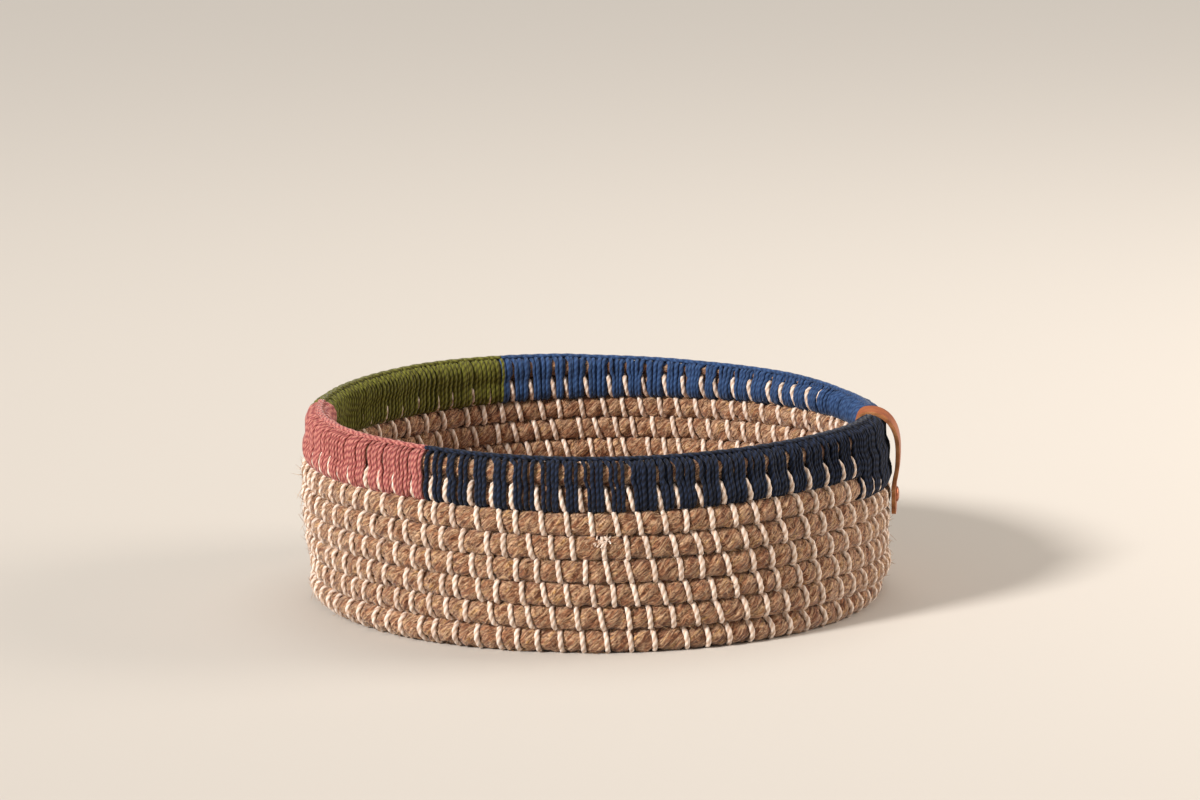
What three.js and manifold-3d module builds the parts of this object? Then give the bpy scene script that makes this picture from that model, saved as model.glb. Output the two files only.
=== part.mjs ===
// Storage basket coiled from one jute rope. The rope starts at the middle of the base, winds out flat,
// climbs into a low round wall and thins out on the rim. Cotton yarn in four colours is wound round the
// top courses, and a leather tab folded over the rim, where the rope ends, is held by a rivet.
// Millimetres, +Z up. The origin is the middle of the underside.

import * as THREE from "three";
import { mergeVertices } from "three/addons/utils/BufferGeometryUtils.js";
import Module from "manifold-3d";

const wasm = await Module();
wasm.setup();

// Rope, in two lengths that meet where the climb starts
const ropeDiameter = 8;
const ropeSides = 6;
const stepsPerTurn = 24;
const ropeGap = 0.45;
const lengthsGap = 0.3;
const pressedShare = 0.1;
const tipShare = 0.2;
const taperTurnShare = 0.34;

// Coil: radius of the rope's centre line at the foot, and how far the wall swells out and draws in
const footRadius = 93.3;
const bellySwell = 4.3;
const rimDrawIn = 2.3;
const bellyHeightShare = 0.62;
const heartOffset = 1;
const leadIn = 2.5;
const wallTurns = 7;

// Places round the basket, in turns counter-clockwise from +X. The rope climbs whole turns and then
// the last part of a turn, and ends under the tab.
const tabShare = -5.5 / 360;
const lastTurnShare = 0.75;
const climbStartShare = tabShare + lastTurnShare + 0.5 / stepsPerTurn;

// Yarn wound round the rim
const yarnDepth = 1.3;
const grooveYarnDepth = 0.8;
const yarnClearance = 0.3;
const bundleShare = 0.84;
const wrapGap = 1.2;
const tallCourses = 3;
const courses = 2;
const wraps = [
  { name: "wrap_blue", colour: 0x35588f, fromShare: 2 / 360, toShare: 111 / 360, loops: 22 },
  { name: "wrap_green", colour: 0x666b32, fromShare: 111 / 360, toShare: 175 / 360, loops: 13 },
  { name: "wrap_rose", colour: 0xb0605c, fromShare: 175 / 360, toShare: 234 / 360, loops: 11 },
  { name: "wrap_navy", colour: 0x1c2740, fromShare: 234 / 360, toShare: 358 / 360, loops: 22,
    tallFromShare: 332 / 360 },
];

// Leather tab
const tabWidth = 12;
const tabThickness = 1.5;
const tabTail = 6.3;
const tabCornerRadius = 2;
const tabSeat = 0.35;
const tabSlack = 1.1;
const tabBelow = 3;
const tabBendSteps = 8;
const tabCornerSteps = 5;

// Rivet
const shankDiameter = 2.6;
const shankClearance = 0.3;
const capDiameter = 6.4;
const capHeight = 1.5;
const capRim = 0.5;
const capSeat = 0.3;
const socketDepth = 0.8;
const capDomeSteps = 5;
const rivetSides = 24;
const overrun = 2;

// Derived sizes of the rope and the coil
const fullTurn = 2 * Math.PI;
const halfStep = Math.PI / stepsPerTurn;
const bellyRadius = footRadius + bellySwell;
const rimRadius = bellyRadius - rimDrawIn;
const facetRadius = (ropeDiameter * Math.cos(halfStep) - ropeGap) / 2;
const facetHeight = facetRadius * Math.cos(Math.PI / ropeSides);
const seatHeight = ropeDiameter / 2 - pressedShare * ropeDiameter;
const ropeEnd = wallTurns + lastTurnShare;
const taperStart = ropeEnd - taperTurnShare;
const wallHeight = wallTurns * ropeDiameter;
const spiralStart = ropeDiameter - heartOffset;
const baseTurns = (footRadius - spiralStart) / ropeDiameter;
const lengthsGapShare = lengthsGap / (fullTurn * footRadius);

// Radius of the wall's centre line at a height above the base's own: out to the belly, in to the rim
function wallRadius(rise) {
  const up = rise / wallHeight;
  if (up < bellyHeightShare) {
    return footRadius + (bellyRadius - footRadius) * Math.sin((up / bellyHeightShare) * Math.PI / 2);
  }
  const above = (up - bellyHeightShare) / (1 - bellyHeightShare);
  return bellyRadius - (bellyRadius - rimRadius) * above * above;
}

// Thickness of the rope, as a share of its full diameter, thinning towards its end on the rim
function ropeShare(turn) {
  const along = (turn - taperStart) / taperTurnShare;
  return along <= 0 ? 1 : 1 - (1 - tipShare) * Math.min(along, 1);
}

// Place of the rope's centre line. Turns count clockwise from where the climb starts and are negative
// in the base. The first wall turn rolls over the base's edge, one diameter away from it all the way,
// and the thinned end lies down on the turn below.
function ropeAt(turn) {
  const angle = fullTurn * (climbStartShare - turn);
  const share = ropeShare(turn);
  if (turn <= 0) {
    return { angle, radius: footRadius + ropeDiameter * turn, height: seatHeight, share };
  }
  let rise = ropeDiameter * turn;
  if (share < 1) {
    rise = ropeDiameter * (turn - 1) + ropeDiameter * (1 + share) / 2;
  }
  let radius = wallRadius(Math.min(rise, wallHeight));
  if (turn < 1) {
    const edge = footRadius + ropeDiameter * (turn - 1);
    radius = Math.max(radius, edge + Math.sqrt(ropeDiameter ** 2 - rise ** 2));
  }
  return { angle, radius, height: seatHeight + rise, share };
}

// Centre line of the base as stations, each with its point, its outward direction and its thickness.
// The rope's end lies at the middle, runs straight, bends round in half a circle and then winds out.
function baseStations() {
  const stations = [];
  const firstStep = -Math.floor(baseTurns * stepsPerTurn);
  const join = ropeAt(firstStep / stepsPerTurn);
  const across = new THREE.Vector2(Math.cos(join.angle), Math.sin(join.angle));
  const along = new THREE.Vector2(across.y, -across.x).negate();
  const bendRadius = (join.radius + heartOffset) / 2;
  const bendMiddle = across.clone().multiplyScalar(join.radius - bendRadius);
  const heart = across.clone().multiplyScalar(-heartOffset);
  const bendSteps = stepsPerTurn / 2;
  const place = (point, outward) => stations.push({
    point: new THREE.Vector3(point.x, point.y, seatHeight),
    outward: new THREE.Vector3(outward.x, outward.y, 0),
    share: 1,
  });
  place(heart.clone().addScaledVector(along, -leadIn), across.clone().negate());
  for (let step = 0; step < bendSteps; step += 1) {
    const turned = Math.PI * (1 - step / bendSteps);
    const outward = across.clone().multiplyScalar(Math.cos(turned)).addScaledVector(along, Math.sin(turned));
    place(bendMiddle.clone().addScaledVector(outward, bendRadius), outward);
  }
  for (let step = firstStep; step < 0; step += 1) {
    stations.push(stationAt(step / stepsPerTurn));
  }
  stations.push(stationAt(-lengthsGapShare / 2));
  return stations;
}

// Centre line of the wall, from where the climb starts to the thin end on the rim
function wallStations() {
  const stations = [stationAt(lengthsGapShare / 2)];
  for (let step = 1; step <= ropeEnd * stepsPerTurn; step += 1) {
    stations.push(stationAt(step / stepsPerTurn));
  }
  return stations;
}

// One station of the spiral or the wall
function stationAt(turn) {
  const { angle, radius, height, share } = ropeAt(turn);
  const outward = new THREE.Vector3(Math.cos(angle), Math.sin(angle), 0);
  return { point: outward.clone().multiplyScalar(radius).setZ(height), outward, share };
}

// Six-sided ring of the rope round a station, flat above and below, and pressed flat underfoot
function ropeRing({ point, outward, share }) {
  const ring = [];
  for (let side = 0; side < ropeSides; side += 1) {
    const around = (side / ropeSides) * fullTurn;
    const corner = point.clone().addScaledVector(outward, share * facetRadius * Math.cos(around));
    corner.z = Math.max(corner.z + share * facetRadius * Math.sin(around), 0);
    ring.push(corner);
  }
  return ring;
}

// Closed tube through rings of points, with a flat end at each end
function tubeGeometry(rings) {
  const sides = rings[0].length;
  const positions = rings.flat().flatMap((corner) => corner.toArray());
  const faces = [];
  for (let ring = 0; ring + 1 < rings.length; ring += 1) {
    for (let side = 0; side < sides; side += 1) {
      const next = (side + 1) % sides;
      const [a, b] = [ring * sides + side, ring * sides + next];
      faces.push(a, b, b + sides, a, b + sides, a + sides);
    }
  }
  const last = (rings.length - 1) * sides;
  for (let side = 1; side + 1 < sides; side += 1) {
    faces.push(0, side + 1, side, last, last + side, last + side + 1);
  }
  const geometry = new THREE.BufferGeometry();
  geometry.setAttribute("position", new THREE.Float32BufferAttribute(positions, 3));
  geometry.setIndex(faces);
  return geometry;
}

// Turns a tube's faces round where its rings run the other way
function turnedOut(geometry) {
  const place = geometry.getAttribute("position");
  const index = geometry.getIndex();
  const [a, b, c] = [new THREE.Vector3(), new THREE.Vector3(), new THREE.Vector3()];
  let volume = 0;
  for (let face = 0; face < index.count; face += 3) {
    a.fromBufferAttribute(place, index.getX(face));
    b.fromBufferAttribute(place, index.getX(face + 1));
    c.fromBufferAttribute(place, index.getX(face + 2));
    volume += a.dot(b.cross(c));
  }
  if (volume < 0) {
    for (let face = 0; face < index.count; face += 3) {
      const kept = index.getX(face + 1);
      index.setX(face + 1, index.getX(face + 2));
      index.setX(face + 2, kept);
    }
  }
  geometry.computeVertexNormals();
  return geometry;
}

// Least distance between rings of a tube that lie more than the given number of rings apart, measured
// from corners, and from points halfway to the next ring, to the other ring's edges
function leastGap(rings, apart) {
  const halfway = rings.slice(0, -1).map((ring, at) => ring.map((corner, side) =>
    corner.clone().lerp(rings[at + 1][side], 0.5)));
  const edge = new THREE.Line3();
  const nearest = new THREE.Vector3();
  let least = Infinity;
  for (const outline of [rings, halfway]) {
    for (let one = 0; one < outline.length; one += 1) {
      for (let two = 0; two < outline.length; two += 1) {
        if (Math.abs(one - two) <= apart || outline[one][0].distanceTo(outline[two][0]) > 3 * ropeDiameter) {
          continue;
        }
        for (const corner of outline[one]) {
          outline[two].forEach((end, side) => {
            edge.set(end, outline[two][(side + 1) % outline[two].length]);
            edge.closestPointToPoint(corner, true, nearest);
            least = Math.min(least, nearest.distanceTo(corner));
          });
        }
      }
    }
  }
  return least;
}

// Manifold solid of a closed geometry
function solidOf(geometry) {
  const bare = geometry.clone();
  bare.deleteAttribute("normal");
  bare.deleteAttribute("uv");
  const merged = mergeVertices(bare);
  return new wasm.Manifold(new wasm.Mesh({
    numProp: 3,
    vertProperties: new Float32Array(merged.getAttribute("position").array),
    triVerts: new Uint32Array(merged.getIndex().array),
  }));
}

// Geometry of a manifold solid
function geometryOf(solid) {
  const { vertProperties, triVerts } = solid.getMesh();
  const geometry = new THREE.BufferGeometry();
  geometry.setAttribute("position", new THREE.BufferAttribute(vertProperties, 3));
  geometry.setIndex(new THREE.BufferAttribute(triVerts, 1));
  geometry.computeVertexNormals();
  return geometry;
}

// Cylinder lying along X, between two places on it, at a height
function crossBar(radius, from, to, height) {
  const bar = new THREE.CylinderGeometry(radius, radius, to - from, rivetSides);
  bar.rotateZ(Math.PI / 2);
  bar.translate((from + to) / 2, 0, height);
  return bar;
}

// Place of the faceted rope's centre line, on the straight line between its two stations
function facetedRopeAt(turn) {
  const step = Math.floor(turn * stepsPerTurn);
  const one = stationAt(step / stepsPerTurn);
  const two = stationAt((step + 1) / stepsPerTurn);
  const part = turn * stepsPerTurn - step;
  const point = one.point.lerp(two.point, part);
  const share = THREE.MathUtils.lerp(one.share, two.share, part);
  return { point, share, radius: Math.hypot(point.x, point.y), height: point.z };
}

// Places of the tab and the rivet, in the tab's own frame, whose +X points out through the wall.
// The rivet goes through the course under the ones that the tall end of the navy yarn covers.
const tabTurn = wallTurns - 1 + climbStartShare - tabShare;
const tabTop = facetedRopeAt(tabTurn);
const rivetCourse = facetedRopeAt(tabTurn - tallCourses);
const rivetHeight = rivetCourse.height;
const seatOut = rivetCourse.radius + facetRadius + tabSeat + tabThickness / 2;
const seatIn = rivetCourse.radius - facetRadius - tabSeat - tabThickness / 2;

// Rope, in two lengths: the flat base, and the wall with the hole for the rivet
const baseRings = baseStations().map(ropeRing);
const wallRings = wallStations().map(ropeRing);
console.log(`base_coil: least gap to itself ${leastGap(baseRings, stepsPerTurn / 3).toFixed(2)} mm`);
console.log(`wall_coil: least gap to itself ${leastGap(wallRings, stepsPerTurn / 3).toFixed(2)} mm`);
const holeRadius = shankDiameter / 2 + shankClearance;
const rivetHole = crossBar(holeRadius, seatIn - overrun, seatOut + overrun, rivetHeight);
rivetHole.rotateZ(fullTurn * tabShare);
const wallGeometry = geometryOf(solidOf(turnedOut(tubeGeometry(wallRings))).subtract(solidOf(rivetHole)));

// Outline of one loop of yarn round the top courses, as how far each corner stands out and up from
// the centre of its course, in rope facets, and whether it lies in a groove between two courses
function loopCorners(count) {
  const corners = [
    { course: 0, out: 1, up: 0 },
    { course: 0, out: 0.5, up: 1 },
    { course: 0, out: -0.5, up: 1 },
    { course: 0, out: -1, up: 0 },
  ];
  for (let course = 1; course < count; course += 1) {
    corners.push({ course, out: -1, up: 0 });
  }
  corners.push({ course: count - 1, out: -0.5, up: -1, groove: true });
  corners.push({ course: count - 1, out: 0.5, up: -1, groove: true });
  for (let course = count - 1; course > 0; course -= 1) {
    corners.push({ course, out: 1, up: 0 });
  }
  return corners;
}

// Three-cornered ring of a yarn bundle at one corner of a loop: two corners lie on the rope, half a
// bundle either side, and the third is the bundle's crown
function bundleRing(turn, halfBundle, corner) {
  const bendRoom = corner.out > 0 ? halfBundle * fullTurn * rimRadius * Math.tan(halfStep) : 0;
  const depth = corner.groove ? grooveYarnDepth : yarnDepth;
  const at = (along, layer) => {
    const { point, share, radius } = facetedRopeAt(turn - corner.course + along);
    const sideways = share * facetRadius + yarnClearance / Math.cos(Math.PI / ropeSides) + bendRoom + layer;
    const lift = share * facetHeight + yarnClearance + layer;
    const scale = (radius + corner.out * sideways) / radius;
    return new THREE.Vector3(point.x * scale, point.y * scale, point.z + corner.up * lift);
  };
  return [at(-halfBundle, 0), at(halfBundle, 0), at(0, depth)];
}

// One colour of yarn, wound as bundles of strands along the last turn of the rope
function wrapRings({ fromShare, toShare, loops, tallFromShare }) {
  const gap = wrapGap / (fullTurn * rimRadius) / 2;
  const lastPartShare = 1 / loopCorners(courses).length;
  const length = ropeTurnAt(fromShare) - ropeTurnAt(toShare) - 2 * gap;
  const pitch = length / (loops - lastPartShare + bundleShare);
  const halfBundle = bundleShare * pitch / 2;
  const start = ropeTurnAt(toShare) + gap + halfBundle;
  const rings = [];
  for (let loop = 0; loop < loops; loop += 1) {
    const tall = tallFromShare !== undefined && start + loop * pitch < ropeTurnAt(tallFromShare);
    const corners = loopCorners(tall ? tallCourses : courses);
    corners.forEach((corner, at) => {
      rings.push(bundleRing(start + (loop + at / corners.length) * pitch, halfBundle, corner));
    });
  }
  return rings;
}

// Turn of the rope that lies on top of the rim at a place round the basket
function ropeTurnAt(place) {
  return wallTurns + climbStartShare - place;
}

// Centre line of the folded leather, from the tail inside, over the rim, to the tail outside
function tabPath() {
  const reach = facetRadius + yarnClearance + yarnDepth + tabSlack + tabThickness / 2;
  const crown = tabTop.height + facetHeight + yarnClearance + yarnDepth + tabSeat + tabThickness / 2;
  const straightTop = rivetHeight + capDiameter / 2 + tabBelow / 2;
  const low = rivetHeight - tabTail;
  const middle = facetedRopeAt(tabTurn - 1);
  const path = new THREE.Path();
  path.moveTo(seatIn, low);
  path.lineTo(seatIn, rivetHeight + capDiameter / 2);
  path.bezierCurveTo(
    seatIn, straightTop,
    middle.radius - reach - tabSlack, straightTop + tabBelow,
    middle.radius - reach - tabSlack, middle.height,
  );
  path.bezierCurveTo(
    middle.radius - reach - tabSlack, crown,
    tabTop.radius - reach / 2, crown,
    tabTop.radius, crown,
  );
  path.bezierCurveTo(
    tabTop.radius + reach / 2, crown,
    middle.radius + reach + tabSlack, crown,
    middle.radius + reach + tabSlack, middle.height,
  );
  path.bezierCurveTo(
    middle.radius + reach + tabSlack, straightTop + tabBelow,
    seatOut, straightTop,
    seatOut, rivetHeight + capDiameter / 2,
  );
  path.lineTo(seatOut, low);
  return path.getPoints(tabBendSteps);
}

// Strip of even thickness either side of a centre line, as a closed outline
function stripOutline(points, thickness) {
  const [left, right] = [[], []];
  points.forEach((point, at) => {
    const before = points[Math.max(at - 1, 0)];
    const after = points[Math.min(at + 1, points.length - 1)];
    const run = after.clone().sub(before).normalize();
    left.push(new THREE.Vector2(point.x - run.y * thickness / 2, point.y + run.x * thickness / 2));
    right.push(new THREE.Vector2(point.x + run.y * thickness / 2, point.y - run.x * thickness / 2));
  });
  return new THREE.Shape([...left, ...right.reverse()]);
}

// Front view of the tab: straight sides and rounded corners at the tails
function tabFront(from, to, low, high) {
  const half = tabWidth / 2;
  const front = new THREE.Shape();
  front.moveTo(-half, high);
  front.lineTo(-half, low + tabCornerRadius);
  front.absarc(-half + tabCornerRadius, low + tabCornerRadius, tabCornerRadius, Math.PI, 1.5 * Math.PI);
  front.absarc(half - tabCornerRadius, low + tabCornerRadius, tabCornerRadius, 1.5 * Math.PI, fullTurn);
  front.lineTo(half, high);
  const slab = new THREE.ExtrudeGeometry(front, {
    depth: to - from, bevelEnabled: false, curveSegments: tabCornerSteps,
  });
  slab.rotateX(Math.PI / 2);
  slab.rotateZ(Math.PI / 2);
  slab.translate(from, 0, 0);
  return slab;
}

// Leather tab, cut to its front view and punched for the rivet
function tabGeometry() {
  const points = tabPath();
  const strip = new THREE.ExtrudeGeometry(stripOutline(points, tabThickness), {
    depth: tabWidth + overrun, bevelEnabled: false,
  });
  strip.rotateX(Math.PI / 2);
  strip.translate(0, (tabWidth + overrun) / 2, 0);
  const low = rivetHeight - tabTail;
  const high = Math.max(...points.map((point) => point.y)) + tabThickness + overrun;
  const from = Math.min(...points.map((point) => point.x)) - tabThickness - overrun;
  const to = Math.max(...points.map((point) => point.x)) + tabThickness + overrun;
  const hole = crossBar(holeRadius, from, to, rivetHeight);
  return geometryOf(solidOf(strip).intersect(solidOf(tabFront(from, to, low, high))).subtract(solidOf(hole)));
}

// Domed rivet head as half an outline, from its flat back up to the middle of its dome
function capOutline(start) {
  const radius = capDiameter / 2;
  const outline = [start, new THREE.Vector2(radius, 0), new THREE.Vector2(radius, capRim)];
  for (let step = 1; step < capDomeSteps; step += 1) {
    const around = (step / capDomeSteps) * Math.PI / 2;
    const lift = (capHeight - capRim) * Math.sin(around);
    outline.push(new THREE.Vector2(radius * Math.cos(around), capRim + lift));
  }
  outline.push(new THREE.Vector2(0, capHeight));
  return outline;
}

// Outer head with its shank, which reaches into the socket of the cap inside
function studGeometry(length) {
  const radius = shankDiameter / 2;
  const shank = [new THREE.Vector2(0, -length), new THREE.Vector2(radius, -length)];
  return new THREE.LatheGeometry([...shank, ...capOutline(new THREE.Vector2(radius, 0))], rivetSides);
}

// Inner cap with a blind socket for the end of the shank
function socketCapGeometry() {
  const radius = shankDiameter / 2 + shankClearance;
  const socket = [new THREE.Vector2(0, socketDepth), new THREE.Vector2(radius, socketDepth)];
  return new THREE.LatheGeometry([...socket, ...capOutline(new THREE.Vector2(radius, 0))], rivetSides);
}

// Mesh with its name and finish
function piece(name, geometry, colour, roughness, metalness) {
  const finish = new THREE.MeshStandardMaterial({ color: colour, roughness, metalness });
  const mesh = new THREE.Mesh(geometry, finish);
  mesh.name = name;
  return mesh;
}

const basket = new THREE.Group();
basket.add(piece("base_coil", turnedOut(tubeGeometry(baseRings)), 0xb98a62, 0.95, 0));
basket.add(piece("wall_coil", wallGeometry, 0xb98a62, 0.95, 0));

for (const wrap of wraps) {
  const rings = wrapRings(wrap);
  console.log(`${wrap.name}: least gap to itself ${leastGap(rings, 4).toFixed(2)} mm`);
  basket.add(piece(wrap.name, turnedOut(tubeGeometry(rings)), wrap.colour, 0.9, 0));
}

const fittings = new THREE.Group();
fittings.rotation.z = fullTurn * tabShare;
basket.add(fittings);
fittings.add(piece("leather_tab", tabGeometry(), 0xb5622f, 0.6, 0));

const headOut = seatOut + tabThickness / 2 + capSeat;
const capIn = seatIn - tabThickness / 2 - capSeat;
const stud = piece("rivet_stud", studGeometry(headOut - capIn + socketDepth - capSeat), 0xb87353, 0.35, 1);
stud.rotation.set(0, 0, -Math.PI / 2);
stud.position.set(headOut, 0, rivetHeight);
const cap = piece("rivet_cap", socketCapGeometry(), 0xb87353, 0.35, 1);
cap.rotation.set(0, 0, Math.PI / 2);
cap.position.set(capIn, 0, rivetHeight);
fittings.add(stud, cap);

export default basket;
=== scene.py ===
"""Looks of a storage basket coiled from one jute rope.

The rope winds flat for the base, climbs into a low round wall and thins out on the rim. Cotton cord
stitches hold its courses together, cotton yarn in four colours is wound over the rim, and a leather
tab with a copper rivet covers the place where the rope ends. Sizes are in millimetres until a mesh
is made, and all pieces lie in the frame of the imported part: +Z up, the origin under the middle.
"""

import logging
import math
from dataclasses import dataclass, field
from enum import Enum
from typing import Any, Sequence

import bpy
import numpy as np
from mathutils import Matrix, Vector


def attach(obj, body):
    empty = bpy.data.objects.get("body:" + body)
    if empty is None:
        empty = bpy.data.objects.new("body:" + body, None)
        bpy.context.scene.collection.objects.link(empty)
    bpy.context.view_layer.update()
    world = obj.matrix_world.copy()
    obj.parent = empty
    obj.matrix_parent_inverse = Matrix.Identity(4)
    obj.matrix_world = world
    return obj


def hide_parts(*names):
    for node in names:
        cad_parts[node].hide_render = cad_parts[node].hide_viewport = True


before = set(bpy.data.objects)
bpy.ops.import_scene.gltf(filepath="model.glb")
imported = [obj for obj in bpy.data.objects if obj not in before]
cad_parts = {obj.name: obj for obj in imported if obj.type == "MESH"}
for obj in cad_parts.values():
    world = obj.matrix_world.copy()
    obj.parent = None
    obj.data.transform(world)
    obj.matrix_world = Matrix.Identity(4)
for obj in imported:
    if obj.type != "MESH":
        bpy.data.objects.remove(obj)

MM = 0.001
FULL_TURN = 2 * math.pi
SEED = 71
BODY = "root"
UV_NAME = "along_and_around"
NOISE_ROUGHNESS = 0.6
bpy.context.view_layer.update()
UP = np.array([0.0, 0.0, 1.0])
Array = np.ndarray
Random = np.random.Generator
Socket = bpy.types.NodeSocket
Material = bpy.types.Material
Piece = bpy.types.Object
Pair = tuple[float, float]
Triple = tuple[float, float, float]
log = logging.getLogger("basket")


class Side(Enum):
    """Side of the coil that a stitch or a strand is seen on."""

    OUTER = "outer"
    INNER = "inner"


# Materials


def linear(hex_colour: str) -> tuple[float, float, float, float]:
    """Turns an sRGB hex colour into linear light.

    Args:
        hex_colour: Colour as "#rrggbb".

    Returns:
        Red, green, blue and an alpha of 1.
    """
    channels = [int(hex_colour[at : at + 2], 16) / 255 for at in (1, 3, 5)]
    light = [c / 12.92 if c <= 0.04045 else ((c + 0.055) / 1.055) ** 2.4 for c in channels]
    return (*light, 1.0)


class Graph:
    """Node tree of one material, with short ways to add what the finishes share."""

    def __init__(self, name: str) -> None:
        """Starts a material.

        Args:
            name: Name of the material.
        """
        self.material = bpy.data.materials.new(name)
        self.material.use_nodes = True
        self.tree = self.material.node_tree

    def _feed(self, node: bpy.types.Node, inputs: dict[str | int, Any]) -> None:
        """Sets the sockets of a node.

        Args:
            node: The node.
            inputs: Values, or sockets to link, by name or place of the node's own socket.
        """
        for name, value in inputs.items():
            if isinstance(value, Socket):
                self.tree.links.new(value, node.inputs[name])
            else:
                node.inputs[name].default_value = value

    def add(self, kind: str, output: str | int, inputs: dict[str | int, Any], **settings: Any) -> Socket:
        """Adds one node.

        Args:
            kind: Blender's name of the node type, after "ShaderNode".
            output: Name or place of the socket to hand back.
            inputs: Values, or sockets to link, by name or place of the node's own socket.
            settings: Properties of the node.

        Returns:
            The chosen output socket.
        """
        node = self.tree.nodes.new("ShaderNode" + kind)
        for name, value in settings.items():
            setattr(node, name, value)
        self._feed(node, inputs)
        return node.outputs[output]

    def dress(self, **inputs: Any) -> Material:
        """Finishes the material.

        Args:
            inputs: Values of the shader's sockets, or sockets to link, named with _ for a space.

        Returns:
            The material.
        """
        named = {name.replace("_", " "): value for name, value in inputs.items()}
        self._feed(self.tree.nodes["Principled BSDF"], named)
        return self.material

    def maths(self, operation: str, *values: Socket | float) -> Socket:
        """Adds a math node, with Blender's name of the operation."""
        return self.add("Math", "Value", dict(enumerate(values)), operation=operation)

    def shaded(self, share: float, colour: Socket, shade: Socket) -> Socket:
        """Multiplies a share of a colour by another, at the Mix node's places for colours."""
        inputs = {"Factor": share, 6: colour, 7: shade}
        return self.add("Mix", 2, inputs, data_type="RGBA", blend_type="MULTIPLY")

    def bump(self, height: Socket, strength: float, depth: float) -> Socket:
        """Adds relief with a depth in millimetres."""
        inputs = {"Strength": strength, "Distance": depth * MM, "Height": height}
        return self.add("Bump", "Normal", inputs)

    def ramp(self, factor: Socket, *stops: tuple[float, str]) -> Socket:
        """Adds a colour ramp.

        Args:
            factor: Socket that drives the ramp.
            stops: Places from 0 to 1, each with an sRGB hex colour.

        Returns:
            The ramp's colour.
        """
        made = self.add("ValToRGB", "Color", {"Fac": factor})
        elements = made.node.color_ramp.elements
        while len(elements) < len(stops):
            elements.new(0.5)
        for element, (place, colour) in zip(elements, stops):
            element.position = place
            element.color = linear(colour)
        return made

    def noise(
        self, place: Socket, length: float, width: float, detail: float, lean: float = 0, unit: float = 1
    ) -> Socket:
        """Adds noise whose blobs have a real length and width.

        Args:
            place: Coordinates, along the piece first.
            length: Millimetres of a blob along the piece.
            width: Millimetres of a blob across it.
            detail: Octaves of finer noise.
            lean: Degrees that the blobs lean from the direction along the piece.
            unit: Millimetres in one unit of the coordinates.

        Returns:
            The noise's factor.
        """
        turned = self.add("Mapping", "Vector", {"Vector": place, "Rotation": (0, 0, math.radians(lean))})
        scale = (unit / length, unit / width, unit / width)
        scaled = self.add("Mapping", "Vector", {"Vector": turned, "Scale": scale})
        inputs = {"Vector": scaled, "Scale": 1.0, "Detail": detail, "Roughness": NOISE_ROUGHNESS}
        return self.add("TexNoise", "Fac", inputs)


@dataclass(frozen=True)
class JuteFinish:
    """Jute rope: bast fibres laid in strands, matt, tan with golden and reddish stretches.

    Bundles, combed and askew fibres and tufts are noises: length, width, detail and lean.
    """

    name: str = "jute_rope"
    shadow: str = "#8C5C41"
    tan: str = "#BD8C6B"
    gold: str = "#D9AC74"
    pale: str = "#E2C3A6"
    tuft_hollow_shade: str = "#86604A"
    fibre_tone_and_shade: str = "#644534"
    fibre_pale: str = "#FFFBF4"
    roughness: float = 0.95
    sheen: float = 0.3
    wave: float = 4.0
    sway: float = 2.4
    relief: float = 0.7
    bundles: tuple[float, ...] = (5.0, 1.8, 2.5)
    combed: tuple[float, ...] = (3.6, 0.42, 3.0, 8.0)
    askew: tuple[float, ...] = (2.6, 0.5, 3.0, -42.0)
    tufts: tuple[float, ...] = (1.5, 0.85, 2.0, -20.0)
    combed_share: float = 0.6
    shade_share: float = 0.8
    coarse_height: float = 0.8

    def material(self) -> Material:
        """Builds the material.

        Returns:
            A material that follows the strands, along and around the rope.
        """
        graph = Graph(self.name)
        straight = graph.add("UVMap", "UV", {}, uv_map=UV_NAME)
        # What follows the swaying coordinates runs in waves, as soft rope does
        inputs = {"Vector": straight, "Scale": 1 / self.wave, "Detail": 1.0}
        shift = graph.add("TexNoise", "Color", inputs)
        inputs = {0: shift, 1: (self.sway, self.sway, 0), 2: straight}
        place = graph.add("VectorMath", "Vector", inputs, operation="MULTIPLY_ADD")
        # Bundles of fibres a few millimetres long differ in colour, as stalks of jute do. The same noise
        # raises them in the relief, so the low ones take the shadow colour as painted shade and the high
        # ones the pale and golden colours as painted highlight, on top of their own colour.
        tone = graph.noise(place, *self.bundles)
        stops = (0.32, self.shadow), (0.45, self.tan), (0.56, self.pale), (0.68, self.gold)
        patch = graph.ramp(tone, *stops)
        # Single fibres are under 0.1 mm, drawn as lines 0.4 mm wide so that they show. Half of them
        # lie askew, as they do in soft, badly combed rope. Their dark lines lie low in the relief:
        # partly the fibres' own colour, partly painted shade between them.
        combed, askew = graph.noise(place, *self.combed), graph.noise(place, *self.askew)
        rest = graph.maths("MULTIPLY", askew, 1 - self.combed_share)
        fibre = graph.maths("MULTIPLY_ADD", combed, self.combed_share, rest)
        lines = graph.ramp(fibre, (0.4, self.fibre_tone_and_shade), (0.56, self.fibre_pale))
        # Tufts about a millimetre across stand up from the strands; the hollows between them are
        # darkened in colour as painted shade.
        tuft = graph.noise(place, *self.tufts)
        painted_hollow_shade = graph.ramp(tuft, (0.38, self.tuft_hollow_shade), (0.56, self.fibre_pale))
        colour = graph.shaded(self.shade_share, graph.shaded(self.shade_share, patch, lines), painted_hollow_shade)
        coarse = graph.maths("ADD", tone, tuft)
        height = graph.maths("MULTIPLY_ADD", coarse, self.coarse_height, fibre)
        return graph.dress(
            Base_Color=colour, Normal=graph.bump(height, 1.0, self.relief), Roughness=self.roughness,
            Specular_IOR_Level=0.2, Sheen_Weight=self.sheen, Sheen_Roughness=0.5,
        )


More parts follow.
